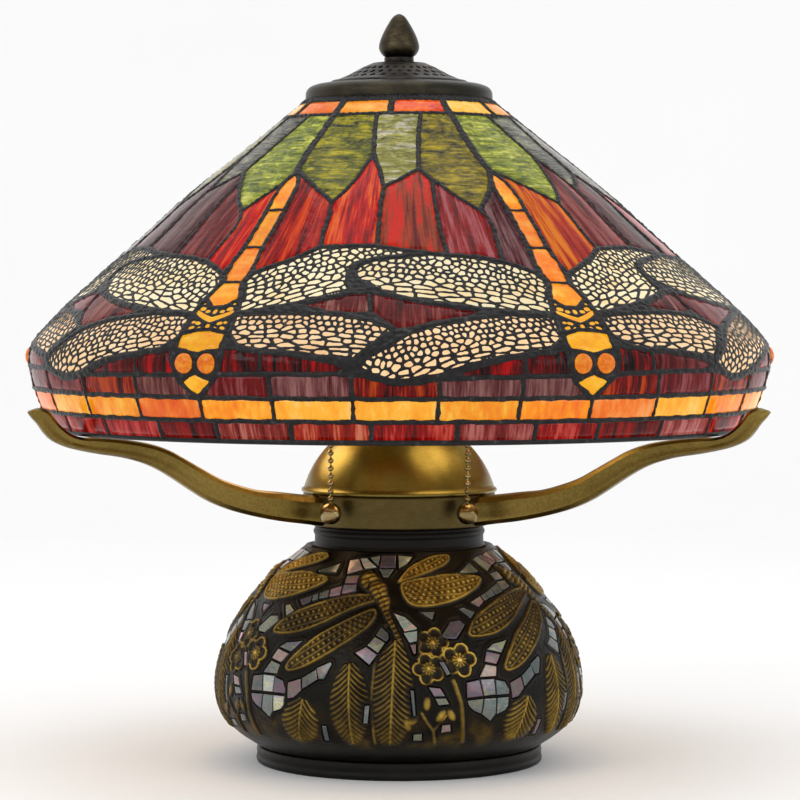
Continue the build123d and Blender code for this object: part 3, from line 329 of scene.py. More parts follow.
# ---------------------------------------------------------------- solder
def build_came():
    fine = 0.62
    tiers = [(0.0, 72.0, fine, 108), (72.0, 132.0, fine, 156), (132.0, S_END, fine, 204)]
    made = []
    for ti, (s0, s1, res, rr) in enumerate(tiers):
        C = int(rr * math.pi / 3 / res); R = int((s1 - s0 + 0.8) / res)
        ph = np.linspace(-30, 30, C + 1)
        ss = np.linspace(s0, min(s1 + 0.8, S_END), R + 1)
        PH, SS = np.meshgrid(ph, ss)
        e0 = lead_e(PH, SS)
        # solid ground where nothing is glass (round eyes and thorax)
        solid = np.zeros(PH.shape, bool)
        covered = np.zeros(PH.shape, bool)
        for _, polys, _w in SETS:
            for poly in polys:
                for turn in (-60, 0, 60):
                    q = [(p + turn, s) for p, s in poly]
                    if max(p for p, _ in q) < -31 or min(p for p, _ in q) > 31:
                        continue
                    covered |= in_poly(PH, SS, q)
        mm = prof(SS)[0] * math.pi / 180
        for cx, cy in eye_c:
            covered |= np.hypot((PH - cx) * mm, SS - cy) < EYE_R
        solid = (~covered) & (SS > 6)
        e0 = np.where(solid & (e0 > -0.6), -0.6 - 0.5 * np.clip(e0 + 0.6, 0, 3), e0)
        if ti == 0:
            e0 = np.where(SS < 3.6, np.minimum(e0, -1.2), e0)
        sectors = [(k,) for k in range(6)] if ti == 2 else [(0, 1), (2, 3), (4, 5)]
        for si, ks in enumerate(sectors):
            Vs, Fs, off = [], [], 0
            for k in ks:
                G = PH + 60 * k
                X = G * 3.0; r_mm = G * math.pi / 180 * 170
                e = e0 + 0.28 * wave_noise(r_mm, SS, 7.0, 11) + 0.14 * wave_noise(r_mm, SS, 2.6, 12)
                bead = 1 - np.exp(np.minimum(e, 0) / 0.75)
                h = np.where(e < 0, GLASS_H + 0.90 * bead + 0.26 * bead * wave_noise(r_mm, SS, 4.6, 13)
                             + 0.13 * bead * wave_noise(r_mm, SS, 1.9, 14), GLASS_H - 0.8 * e)
                hi = np.where(e < 0, -2.6 - 0.5 * bead, -2.6 + 0.5 * e)
                ev = np.minimum(np.minimum(e[:-1, :-1], e[1:, :-1]), np.minimum(e[:-1, 1:], e[1:, 1:]))
                keep = ev < 0.8
                used, F = sheet_faces(keep)
                V = np.concatenate([shade_pt(G, SS, h).reshape(-1, 3), shade_pt(G, SS, np.minimum(hi, h - 0.4)).reshape(-1, 3)])[used]
                Vs.append(V); Fs.append(F + off); off += len(V)
            ob = mesh_obj(f"solder_{ti + 1}_{'abcdef'[si]}", np.concatenate(Vs), np.concatenate(Fs))
            made.append(ob)
    return made

# ----------------------------------------------------------------- glass
def plate(node, polys, base_w, h_front, pillow, thick, step=3.2, ksel=range(6), wave=0.0, edge=0.5):
    """Glass plates for all repeats: vertices, faces, attributes."""
    V, F, UV, TN, PA = [], [], [], [], []
    off = 0
    for pi, poly in enumerate(polys):
        sm = sum(s for _, s in poly) / len(poly)
        rm = float(prof(np.array([sm]))[0][0]) * math.pi / 180
        flat = densify([(p * rm, s) for p, s in poly], step)
        flat = inset(flat, edge)
        n = len(flat)
        xs, ys = flat[:, 0], flat[:, 1]
        gx, gy = np.meshgrid(np.arange(xs.min(), xs.max(), step * 0.9), np.arange(ys.min(), ys.max(), step * 0.9))
        gx = gx + (np.arange(gx.shape[0])[:, None] % 2) * step * 0.45
        segs = [(flat[a][0], flat[a][1], flat[(a + 1) % n][0], flat[(a + 1) % n][1], 0.0) for a in range(n)]
        ok = in_poly(gx, gy, [tuple(v) for v in flat]) & (seg_dist(gx, gy, segs) > step * 0.42)
        pts = np.concatenate([flat, np.c_[gx[ok], gy[ok]]])
        cd = delaunay_2d_cdt([Vector(p) for p in pts], [(a, (a + 1) % n) for a in range(n)], [], 1, 1e-5)
        P = np.array([tuple(v) for v in cd[0]]); tri = [list(f) for f in cd[2]]
        D = seg_dist(P[:, 0], P[:, 1], segs)
        # boundary loop from edges used once
        cnt = {}
        T = []
        for f in tri:
            a, b, c = f
            area = (P[b][0] - P[a][0]) * (P[c][1] - P[a][1]) - (P[c][0] - P[a][0]) * (P[b][1] - P[a][1])
            if abs(area) < 1e-9:
                continue
            T.append((a, c, b) if area > 0 else (a, b, c))
        for a, b, c in T:
            for u, v in ((a, b), (b, c), (c, a)):
                cnt[(u, v)] = cnt.get((u, v), 0) + 1
        rim = [(u, v) for (u, v) in cnt if (v, u) not in cnt]
        T = np.array(T)
        m = len(P)
        quads_tri = np.concatenate([T, T[:, ::-1] + m,
                                    np.array([(v, u, u + m) for u, v in rim]),
                                    np.array([(v, u + m, v + m) for u, v in rim])])
        for k in ksel:
            rnd = rng.random(4)
            lift = GLASS_H + h_front + pillow * (1 - np.exp(-np.clip(D - base_w + edge, 0, None) / 2.6))
            lift = lift + wave * wave_noise(P[:, 0] + rnd[0] * 100, P[:, 1], 9.0, 31 + pi)
            tilt = (rnd[1] - 0.5) * 0.012 * (P[:, 0] - P[:, 0].mean()) + (rnd[2] - 0.5) * 0.012 * (P[:, 1] - P[:, 1].mean())
            g = P[:, 0] / rm + 60 * k
            V.append(shade_pt(g, P[:, 1], lift + tilt * 0.6))
            V.append(shade_pt(g, P[:, 1], np.full(m, GLASS_H + h_front - thick)))
            F.append(quads_tri + off); off += 2 * m
            uv = np.c_[P[:, 0] * 0.01, P[:, 1] * 0.01, np.full(m, rnd[0])]
            UV += [uv, uv]
            TN.append(np.tile([rnd[1], rnd[2], rnd[3]], (2 * m, 1)))
            PA.append(np.tile(np.array(palette(node, pi, k)).reshape(1, 3, 3), (2 * m, 1, 1)))
    return np.concatenate(V), np.concatenate(F), np.concatenate(UV), np.concatenate(TN), np.concatenate(PA)


# =====================================================================
# colours of the glass, dark to light along each streak
# =====================================================================
def lin(*c):
    return [((v / 255.0 + 0.055) / 1.055) ** 2.4 if v > 10.3 else v / 255.0 / 12.92 for v in c]

PAL = {
    "crimson_orange": [(100, 8, 14), (172, 26, 22), (224, 86, 32)],
    "bright": [(136, 6, 6), (204, 28, 14), (236, 108, 58)],
    "pinkgrey": [(108, 16, 12), (150, 76, 60), (208, 60, 20)],
    "rose": [(100, 18, 34), (150, 34, 46), (172, 98, 104)],
    "mauve": [(64, 24, 30), (88, 54, 56), (128, 98, 98)],
    "orange": [(138, 24, 2), (188, 68, 10), (228, 128, 44)],
    "deep": [(66, 8, 12), (118, 14, 20), (162, 40, 34)],
    "plum": [(74, 28, 34), (116, 52, 54), (150, 90, 84)],
    "olive": [(46, 54, 44), (112, 114, 34), (172, 160, 52)],
    "olive2": [(60, 58, 30), (128, 116, 26), (182, 160, 40)],
    "leafgreen": [(84, 100, 18), (140, 152, 30), (204, 208, 100)],
    "stone": [(56, 55, 50), (92, 91, 80), (142, 138, 116)],
    "creamleaf": [(112, 106, 58), (154, 150, 84), (202, 192, 168)],
    "umber": [(70, 16, 20), (112, 52, 50), (158, 112, 104)],
    "wine": [(38, 4, 8), (104, 10, 18), (186, 24, 34)],
    "wine2": [(52, 8, 14), (96, 26, 32), (128, 70, 70)],
    "mauveborder": [(84, 46, 50), (120, 78, 78), (154, 110, 104)],
    "redborder": [(64, 8, 12), (128, 24, 18), (186, 84, 46)],
    "roseborder": [(84, 18, 30), (118, 46, 52), (148, 88, 88)],
    "low_crimson": [(92, 6, 10), (154, 24, 28), (200, 86, 78)],
    "low_pink": [(124, 20, 22), (178, 66, 54), (224, 134, 106)],
    "low_dark": [(62, 6, 10), (110, 16, 22), (154, 56, 50)],
    "low_rose": [(98, 36, 40), (142, 66, 64), (184, 114, 106)],
    "amber_a": [(236, 108, 26), (250, 152, 42), (255, 196, 86)],
    "amber_b": [(226, 88, 26), (242, 124, 50), (252, 168, 96)],
    "amber_c": [(246, 150, 36), (254, 184, 66), (255, 214, 124)],
    "amber_r": [(196, 40, 14), (240, 104, 34), (252, 150, 70)],
    "tail": [(238, 104, 30), (252, 136, 42), (255, 178, 84)],
    "tail2": [(240, 120, 24), (254, 158, 38), (255, 198, 78)],
    "head": [(240, 150, 26), (252, 180, 48), (255, 206, 92)],
    "cream_hi": [(250, 214, 150), (255, 236, 190), (255, 246, 214)],
    "cream_lo": [(244, 188, 136), (253, 214, 166), (255, 230, 190)],
}
FIXED = {("ray_glass", 0, 0): "crimson_orange", ("ray_glass", 1, 0): "bright", ("ray_glass", 2, 0): "pinkgrey",
         ("ray_glass", 3, 0): "rose", ("ray_glass", 4, 0): "mauve", ("ray_glass", 0, 1): "orange", ("ray_glass", 1, 1): "plum",
         ("ray_glass", 2, 1): "wine2", ("ray_glass", 4, 5): "bright", ("ray_glass", 3, 5): "plum", ("ray_glass", 2, 5): "mauve",
         ("leaf_glass", 0, 0): "olive", ("leaf_glass", 1, 0): "creamleaf", ("leaf_glass", 2, 0): "olive2",
         ("leaf_glass", 0, 1): "leafgreen", ("leaf_glass", 1, 1): "stone", ("leaf_glass", 2, 5): "leafgreen", ("leaf_glass", 1, 5): "stone",
         ("border_upper_glass", 1, 0): "mauveborder", ("border_upper_glass", 2, 0): "redborder", ("border_upper_glass", 3, 0): "mauveborder",
         ("top_band_glass", 0, 0): "amber_a", ("top_band_glass", 1, 0): "amber_r"}
CHOICE = {"ray_glass": ["crimson_orange", "bright", "pinkgrey", "rose", "mauve", "deep", "plum", "bright"],
          "leaf_glass": ["olive", "olive2", "leafgreen", "creamleaf", "stone", "olive"],
          "border_upper_glass": ["mauveborder", "redborder", "roseborder", "roseborder"],
          "border_lower_glass": ["low_crimson", "low_pink", "low_dark", "low_rose", "low_crimson"],
          "border_amber_glass": ["amber_a", "amber_b", "amber_c", "amber_a", "amber_c"],
          "top_band_glass": ["amber_a", "amber_c", "amber_r", "amber_b"]}
prng = np.random.default_rng(21)

def palette(node, pi, k):
    name = FIXED.get((node, pi, k))
    pick = prng.integers(0, 1000)
    if name is None:
        if node in CHOICE:
            name = CHOICE[node][pick % len(CHOICE[node])]
        elif node == "ground_glass":
            name = ("umber", "plum")[pick % 2] if pi < 2 else ("wine", "wine2", "wine")[pick % 3]
        elif node == "wing_glass":
            name = "cream_hi" if pi < 2 else "cream_lo"
        else:
            name = ("tail", "tail2")[pick % 2] if pi < 3 else ("head" if pi != 3 else "tail2")
    j = 1.0 + (prng.random(3) - 0.5) * (0.10 if node != "wing_glass" else 0.0)
    # the surface adds a little of the room's light, so the body colour gives it back
    return [[max(0.002, min(1.0, v * q) - 0.033) for v, q in zip(lin(*c), j)] for c in PAL[name]]


# =====================================================================
# materials
# =====================================================================
def new_mat(name):
    m = bpy.data.materials.new(name); m.use_nodes = True
    nt = m.node_tree; nt.nodes.clear()
    out = nt.nodes.new("ShaderNodeOutputMaterial"); bs = nt.nodes.new("ShaderNodeBsdfPrincipled")
    nt.links.new(bs.outputs[0], out.inputs[0])
    return m, nt, bs

def N(nt, kind, **kw):
    n = nt.nodes.new(kind)
    for k, v in kw.items():
        if k.startswith("i_"):
            key = k[2:]
            n.inputs[int(key) if key.isdigit() else key.replace("_", " ")].default_value = v
        else:
            setattr(n, k, v)
    return n

def ramp(nt, fac, stops, interp='LINEAR'):
    r = nt.nodes.new("ShaderNodeValToRGB"); r.color_ramp.interpolation = interp
    el = r.color_ramp.elements
    while len(el) > 1:
        el.remove(el[-1])
    el[0].position = stops[0][0]; el[0].color = (*stops[0][1], 1)
    for p, c in stops[1:]:
        e = el.new(p); e.color = (*c, 1)
    nt.links.new(fac, r.inputs[0])
    return r.outputs[0]

def mixc(nt, fac, a, b, mode='MIX'):
    m = nt.nodes.new("ShaderNodeMix"); m.data_type = 'RGBA'; m.blend_type = mode
    for sock, v in ((m.inputs[0], fac), (m.inputs[6], a), (m.inputs[7], b)):
        if isinstance(v, (int, float)):
            sock.default_value = v
        elif isinstance(v, tuple):
            sock.default_value = (*v, 1) if len(v) == 3 else v
        else:
            nt.links.new(v, sock)
    return m.outputs[2]

def math_(nt, op, a, b=None, clamp=False):
    m = nt.nodes.new("ShaderNodeMath"); m.operation = op; m.use_clamp = clamp
    for sock, v in ((m.inputs[0], a), (m.inputs[1], b)):
        if v is None:
            continue
        if isinstance(v, (int, float)):
            sock.default_value = v
        else:
            nt.links.new(v, sock)
    return m.outputs[0]

def noise(nt, vec, scale, detail=3.0, rough=0.55, dist=0.0, dim='3D'):
    n = nt.nodes.new("ShaderNodeTexNoise"); n.noise_dimensions = dim
    n.inputs["Scale"].default_value = scale; n.inputs["Detail"].default_value = detail
    n.inputs["Roughness"].default_value = rough; n.inputs["Distortion"].default_value = dist
    nt.links.new(vec, n.inputs["Vector"])
    return n.outputs[0]

def stretch(nt, vec, s, loc=(0, 0, 0)):
    m = nt.nodes.new("ShaderNodeMapping"); m.inputs["Scale"].default_value = s; m.inputs["Location"].default_value = loc
    nt.links.new(vec, m.inputs["Vector"])
    return m.outputs[0]

def attr_n(nt, name):
    a = nt.nodes.new("ShaderNodeAttribute"); a.attribute_name = name
    return a

def bump(nt, bs, height, strength, dist):
    b = nt.nodes.new("ShaderNodeBump"); b.inputs["Strength"].default_value = strength
    b.inputs["Distance"].default_value = dist
    nt.links.new(height, b.inputs["Height"]); nt.links.new(b.outputs[0], bs.inputs["Normal"])
    return b

def glass_mat(name, streak, painted_glow, rough=0.14, rip=None, swirl=0.0, contrast=2.2, fixed=None, ripple=None, spec=0.22):
    """Streaky opalescent glass with its light from behind painted on as its own emission glow, the body colour darkened
    to match: the streaks run along the piece's own axes, and every piece has its own cut of the sheet."""
    m, nt, bs = new_mat(name)
    co = attr_n(nt, "sheet").outputs["Vector"]
    tn = attr_n(nt, "piece").outputs["Vector"]
    sep = N(nt, "ShaderNodeSeparateXYZ"); nt.links.new(tn, sep.inputs[0])
    n1 = noise(nt, stretch(nt, co, (streak[0], streak[1], 37.0)), 1.0, 4.0, 0.62, swirl)
    n2 = noise(nt, stretch(nt, co, (streak[0] * 3.1, streak[1] * 2.4, 61.0)), 1.0, 3.0, 0.6, swirl * 0.5)
    n3 = noise(nt, stretch(nt, co, (streak[0] * 0.35, streak[1] * 0.6, 19.0)), 1.0, 2.0, 0.5, swirl)
    f = math_(nt, 'ADD', math_(nt, 'MULTIPLY', n1, 0.45), math_(nt, 'ADD', math_(nt, 'MULTIPLY', n2, 0.25), math_(nt, 'MULTIPLY', n3, 0.30)))
    shift = math_(nt, 'MULTIPLY', math_(nt, 'SUBTRACT', sep.outputs[0], 0.5), 0.22)
    f = math_(nt, 'ADD', math_(nt, 'MULTIPLY', math_(nt, 'SUBTRACT', f, 0.5), contrast * 1.5), math_(nt, 'ADD', shift, 0.5), True)
    if fixed:
        A, B, C = [tuple(lin(*c)) for c in fixed]
    else:
        A, B, C = [attr_n(nt, q).outputs["Color"] for q in ("tone_a", "tone_b", "tone_c")]
    t1 = math_(nt, 'MULTIPLY', f, 2.0, True)
    t2 = math_(nt, 'SUBTRACT', math_(nt, 'MULTIPLY', f, 2.0), 1.0, True)
    col = mixc(nt, t2, mixc(nt, t1, A, B), C)
    if ripple:
        rn = noise(nt, stretch(nt, co, (ripple[0], ripple[1], 29.0)), 1.0, 3.0, 0.6, 0.8)
        shade_ = ramp(nt, rn, [(0.34, (0.34, 0.38, 0.42)), (0.5, (0.85, 0.86, 0.86)), (0.66, (1.3, 1.28, 1.15))])
        col = mixc(nt, ripple[2], col, shade_, 'MULTIPLY')
    # painted glow: the glass colour is the emission, and the base colour is darkened, in place of the bulbs' light
    # passing through the glass
    nt.links.new(mixc(nt, 1.0, col, (0.14, 0.14, 0.14), 'MULTIPLY'), bs.inputs["Base Color"])
    nt.links.new(col, bs.inputs["Emission Color"])
    g = math_(nt, 'MULTIPLY', math_(nt, 'ADD', math_(nt, 'MULTIPLY', sep.outputs[2], 0.16), 0.92), painted_glow)
    nt.links.new(g, bs.inputs["Emission Strength"])
    bs.inputs["Roughness"].default_value = rough
    bs.inputs["IOR"].default_value = 1.5
    bs.inputs["Specular IOR Level"].default_value = spec
    if rip:
        w = noise(nt, stretch(nt, co, (rip[0], rip[1], 13.0)), 1.0, 3.0, 0.55, 0.25)
        bump(nt, bs, w, rip[2], 0.0012)
    else:
        w = noise(nt, stretch(nt, co, (26, 26, 7.0)), 1.0, 2.0, 0.5, 0.2)
        bump(nt, bs, w, 0.25, 0.001)
    return m

M = {}
# every glass below, the eyes too, glows by painted emission, not by the bulbs
M["amber"] = glass_mat("amber_opalescent", (8, 14), 0.83, contrast=2.2, spec=0.3)
M["border_amber"] = glass_mat("border_amber_opalescent", (12, 5), 0.86, contrast=2.3, swirl=0.4, spec=0.3)
M["red"] = glass_mat("red_streaky", (34, 2.2), 0.785, swirl=0.45, contrast=4.2, spec=0.12)
M["ground"] = glass_mat("ground_streaky", (34, 3.0), 0.74, swirl=0.4, contrast=3.8, spec=0.12)
M["lower"] = glass_mat("lower_border_streaky", (30, 3.0), 0.765, swirl=0.4, contrast=3.8, spec=0.15)
M["green"] = glass_mat("leaf_rippled", (8, 16), 0.88, swirl=1.2, contrast=3.4, rip=(9, 66, 1.0), ripple=(7, 60, 0.85))
M["cream"] = glass_mat("wing_cream", (6, 12), 0.86, contrast=1.8, spec=0.15)
M["eye"] = glass_mat("eye_jewel", (40, 40), 0.72, rough=0.03, contrast=1.6, fixed=[(196, 82, 0), (242, 124, 4), (255, 180, 50)], spec=0.25)


def lead_material():
    m, nt, bs = new_mat("patinated_solder")
    tc = N(nt, "ShaderNodeTexCoord").outputs["Object"]
    n = noise(nt, tc, 260.0, 4.0, 0.6)
    n2 = noise(nt, tc, 40.0, 3.0, 0.6)
    col = ramp(nt, n, [(0.3, (0.007, 0.0066, 0.0062)), (0.6, (0.019, 0.018, 0.018)), (0.78, (0.085, 0.083, 0.082))])
    col = mixc(nt, math_(nt, 'MULTIPLY', n2, 0.35), col, (0.035, 0.033, 0.038))
    nt.links.new(col, bs.inputs["Base Color"])
    bs.inputs["Metallic"].default_value = 0.7; bs.inputs["Specular IOR Level"].default_value = 0.3
    r = math_(nt, 'ADD', math_(nt, 'MULTIPLY', n, 0.35), 0.20)
    nt.links.new(r, bs.inputs["Roughness"])
    bump(nt, bs, n, 0.5, 0.0006)
    return m

def metal(name, dark, mid, light, rough=(0.25, 0.45), scale=30.0, stretch_=(1, 1, 8), metallic=1.0, bumpk=0.15):
    m, nt, bs = new_mat(name)
    tc = N(nt, "ShaderNodeTexCoord").outputs["Object"]
    n1 = noise(nt, tc, scale, 4.0, 0.6, 0.3)
    n2 = noise(nt, stretch(nt, tc, tuple(60.0 * k for k in stretch_)), 6.0, 2.0, 0.5)
    f = math_(nt, 'ADD', math_(nt, 'MULTIPLY', n1, 0.75), math_(nt, 'MULTIPLY', n2, 0.25))
    col = ramp(nt, f, [(0.32, dark), (0.5, mid), (0.7, light)])
    nt.links.new(col, bs.inputs["Base Color"])
    bs.inputs["Metallic"].default_value = metallic
    r = math_(nt, 'ADD', math_(nt, 'MULTIPLY', n1, rough[1] - rough[0]), rough[0])
    nt.links.new(r, bs.inputs["Roughness"])
    bump(nt, bs, n2, bumpk, 0.0004)
    return m

M["lead"] = lead_material()
M["brass"] = metal("antique_brass", (0.132, 0.106, 0.026), (0.240, 0.197, 0.052), (0.356, 0.296, 0.090), (0.26, 0.38), 9.0, (1, 1, 16))
# a darker copy of the arms' brass for the arm ring, which is cast with the arms: painted shade under the dome
M["ringbrass"] = metal("arm_ring_painted_shade", (0.03, 0.022, 0.009), (0.085, 0.062, 0.022), (0.17, 0.125, 0.045), (0.32, 0.46), 14.0, (1, 1, 14))
M["chain"] = metal("chain_brass", (0.10, 0.07, 0.025), (0.27, 0.20, 0.09), (0.42, 0.33, 0.17), (0.14, 0.3), 60.0, (1, 1, 1), bumpk=0.05)
M["band"] = metal("smoked_brass", (0.010, 0.009, 0.008), (0.026, 0.023, 0.018), (0.075, 0.062, 0.038), (0.28, 0.5), 18.0, (1, 1, 10))
M["hook"] = metal("arm_brass", (0.085, 0.057, 0.014), (0.18, 0.124, 0.031), (0.29, 0.205, 0.062), (0.26, 0.40), 9.0, (2, 2, 2), bumpk=0.08)
M["bright"] = metal("polished_brass", (0.35, 0.22, 0.06), (0.66, 0.45, 0.15), (0.85, 0.64, 0.28), (0.08, 0.2), 30.0, (1, 1, 1), bumpk=0.05)
M["steel"] = metal("zinc_steel", (0.30, 0.30, 0.29), (0.45, 0.45, 0.44), (0.60, 0.60, 0.58), (0.25, 0.4), 40.0, (1, 1, 4))
M["black"] = metal("black_satin", (0.0035, 0.0032, 0.003), (0.007, 0.0062, 0.0055), (0.014, 0.012, 0.010), (0.34, 0.5), 14.0, (1, 1, 6), metallic=0.2, bumpk=0.08)
M["black"].node_tree.nodes["Principled BSDF"].inputs["Specular IOR Level"].default_value = 0.14
M["gun"] = metal("dark_bronze", (0.012, 0.010, 0.010), (0.035, 0.030, 0.027), (0.085, 0.07, 0.05), (0.30, 0.5), 45.0, (1, 1, 3), bumpk=0.3)
M["olive"] = metal("olive_bronze", (0.016, 0.0135, 0.0095), (0.042, 0.034, 0.021), (0.11, 0.086, 0.048), (0.26, 0.45), 55.0, (1, 1, 3), bumpk=0.35)
M["nylon"] = metal("black_nylon", (0.008, 0.008, 0.008), (0.014, 0.014, 0.014), (0.02, 0.02, 0.02), (0.4, 0.55), 60.0, (1, 1, 1), metallic=0.0)
M["porcelain"] = metal("porcelain", (0.62, 0.60, 0.56), (0.72, 0.70, 0.66), (0.80, 0.78, 0.74), (0.15, 0.25), 20.0, (1, 1, 1), metallic=0.0, bumpk=0.04)

def bulb_material():
    m, nt, bs = new_mat("frosted_bulb")
    tc = N(nt, "ShaderNodeTexCoord").outputs["Object"]
    n = noise(nt, tc, 60.0, 2.0, 0.5)
    col = ramp(nt, n, [(0.3, (0.93, 0.68, 0.36)), (0.7, (1.0, 0.78, 0.48))])
    nt.links.new(col, bs.inputs["Base Color"]); nt.links.new(col, bs.inputs["Emission Color"])
    bs.inputs["Emission Strength"].default_value = 0.95
    bs.inputs["Roughness"].default_value = 0.35
    return m
M["bulb"] = bulb_material()

def set_mat(ob, mat):
    ob.data.materials.clear(); ob.data.materials.append(mat)

# =====================================================================
# shade pieces
# =====================================================================
MATS = {"top_band_glass": "amber", "leaf_glass": "green", "ray_glass": "red", "dragonfly_body_glass": "amber",
        "wing_glass": "cream", "ground_glass": "ground", "border_upper_glass": "ground",
        "border_amber_glass": "border_amber", "border_lower_glass": "lower"}
for node, polys, w in SETS:
    if node == "thorax":
        continue
    use = polys + (BODYNET if node == "dragonfly_body_glass" else [])
    flat = node == "wing_glass"
    V, F, UV, TN, PA = plate(node, use, w, 0.0, 0.0 if flat else 0.42, 2.0, step=3.2 if not flat else 4.0, wave=0.0 if flat else 0.06)
    ob = mesh_obj("vis_" + node, V, F, smooth=True)
    attr(ob, "sheet", UV); attr(ob, "piece", TN)
    for q, nm_ in enumerate(("tone_a", "tone_b", "tone_c")):
        attr(ob, nm_, PA[:, q])
    set_mat(ob, M[MATS[node]])
    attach(ob, "shade"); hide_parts(node)

for ob in build_came():
    set_mat(ob, M["lead"])
    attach(ob, "shade")
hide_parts("lead_came")

# domed eyes
V, F, UV, TN = [], [], [], []
off = 0
for k in range(6):
    for cp, cs in EYES:
        rnd = rng.random(4)
        rings, seg = 7, 26
        r0 = float(prof(np.array([cs]))[0][0]) * math.pi / 180
        vs = []; uv = []
        prs = [(EYE_R + 0.3, -2.2), (EYE_R + 0.3, -0.7)] + [((EYE_R + 0.3) * math.cos(a), -0.5 + 2.7 * math.sin(a)) for a in np.linspace(0.05, math.pi / 2 - 0.12, rings)]
        for rad, hh in prs:
            for q in range(seg):
                a = 2 * math.pi * q / seg
                vs.append(shade_pt(cp + 60 * k + rad * math.cos(a) / r0, cs - rad * math.sin(a), hh)); uv.append((rad * math.cos(a) * 0.01, rad * math.sin(a) * 0.01, rnd[0]))
        nr = len(prs)
        vs.append(shade_pt(cp + 60 * k, cs, -0.5 + 2.7)); uv.append((0, 0, rnd[0]))
        vs.append(shade_pt(cp + 60 * k, cs, -2.2)); uv.append((0, 0, rnd[0]))
        for i in range(nr - 1):
            for q in range(seg):
                a, b = i * seg + q, i * seg + (q + 1) % seg
                F.append((off + a, off + b, off + b + seg, off + a + seg))
        for q in range(seg):
            F.append((off + (nr - 1) * seg + q, off + (nr - 1) * seg + (q + 1) % seg, off + nr * seg))
            F.append((off + (q + 1) % seg, off + q, off + nr * seg + 1))
        V += [np.asarray(v).reshape(3) for v in vs]; UV += uv; TN += [tuple(rnd[1:4])] * len(vs)
        off += len(vs)
ob = mesh_obj("vis_eye_jewels", np.array(V), [tuple(f) for f in F])
attr(ob, "sheet", np.array(UV)); attr(ob, "piece", np.array(TN)); set_mat(ob, M["eye"])
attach(ob, "shade"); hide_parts("eye_jewels")

# ------------------------------------------------------------- etched nets
def net_patch(poly, root, tip, k, res, seed, half, spacing, metric, low_metric=2.0):
    """Etched net over one wing: a thin sheet that dips into the glass at
    every cell."""
    r = np.random.default_rng(seed)
    sm = sum(s for _, s in poly) / len(poly)
    rm = float(prof(np.array([sm]))[0][0]) * math.pi / 180
    P = [(p * rm, s) for p, s in poly]
    xs = np.arange(min(p for p, _ in P), max(p for p, _ in P) + res, res)
    ys = np.arange(min(s for _, s in P), max(s for _, s in P) + res, res)
    X, Y = np.meshgrid(xs, ys)
    n = len(P)
    segs = [(P[a][0], P[a][1], P[(a + 1) % n][0], P[(a + 1) % n][1], 0.0) for a in range(n)]
    D = seg_dist(X, Y, segs); D = np.where(in_poly(X, Y, P), D, -D)
    A = np.array([root[0] * rm, root[1]]); B = np.array([tip[0] * rm, tip[1]])
    U = (B - A) / np.linalg.norm(B - A); W = np.array([-U[1], U[0]])
    if W[1] < 0:
        W = -W
    L = np.linalg.norm(B - A)
    a = (X - A[0]) * U[0] + (Y - A[1]) * U[1]
    b = (X - A[0]) * W[0] + (Y - A[1]) * W[1]
    bend = 0.0032 * (a - L * 0.5) ** 2
    b = b - bend * (1 if root[1] > 175 or True else 0) * 0.55
    seeds = []
    y, row = -26.0, 0
    while y < 30:
        low = 1.0 / (1.0 + math.exp(-(y - 1.0) / 2.0))
        sx = spacing[0] * (0.84 + 1.35 * low); sy = spacing[1] * (1.08 - 0.22 * low)
        x = -8 + r.random() * sx
        while x < L + 14:
            seeds.append((x + r.normal() * sx * 0.12, y + r.normal() * sy * (0.20 - 0.10 * low)))
            x += sx * (0.62 + 0.76 * r.random())
        y += sy; row += 1
    sd = np.array(seeds)
    lowf = 1.0 / (1.0 + np.exp(-(b - 1.0) / 2.0))
    kx = 1.0 / (1.05 + 1.55 * lowf)
    m1 = np.full(a.shape, 1e9); m2 = np.full(a.shape, 1e9)
    i1 = np.zeros(a.shape, int); i2 = np.zeros(a.shape, int)
    for q, (x0, y0) in enumerate(sd):
        d = np.hypot((a - x0) * kx, b - y0)
        c = d < m1; c2 = (~c) & (d < m2)
        m2 = np.where(c, m1, np.where(c2, d, m2)); i2 = np.where(c, i1, np.where(c2, q, i2))
        m1 = np.where(c, d, m1); i1 = np.where(c, q, i1)
    # true distance to the wall between the two nearest cells
    gx = kx * kx * ((a - sd[i2, 0]) / (m2 + 1e-6) - (a - sd[i1, 0]) / (m1 + 1e-6))
    gy = (b - sd[i2, 1]) / (m2 + 1e-6) - (b - sd[i1, 1]) / (m1 + 1e-6)
    e = (m2 - m1) / np.clip(np.hypot(gx, gy), 0.35, 3.0)
    for _ in range(2):
        e = 0.52 * e + 0.12 * (np.roll(e, 1, 0) + np.roll(e, -1, 0) + np.roll(e, 1, 1) + np.roll(e, -1, 1))
    e = e - half * (1.0 + 0.22 * wave_noise(X, Y, 6.0, seed + 5))
    e = np.minimum(e, D - 1.7)
    h = np.where(e < 0, GLASS_H + 0.36 * (1 - np.exp(e / 0.28)) + 0.03 * wave_noise(X, Y, 1.6, seed + 9), GLASS_H - 1.1 * np.minimum(e, 0.9))
    ev = np.minimum(np.minimum(e[:-1, :-1], e[1:, :-1]), np.minimum(e[:-1, 1:], e[1:, 1:]))
    dv = np.maximum(np.maximum(D[:-1, :-1], D[1:, :-1]), np.maximum(D[:-1, 1:], D[1:, 1:]))
    keep = (ev < 0.42) & (dv > 1.0)
    used, F = sheet_faces(keep)
    G = X / rm + 60 * k
    V = np.concatenate([shade_pt(G, Y, h).reshape(-1, 3), shade_pt(G, Y, np.minimum(h - 0.12, GLASS_H - 0.55)).reshape(-1, 3)])[used]
    return V, F

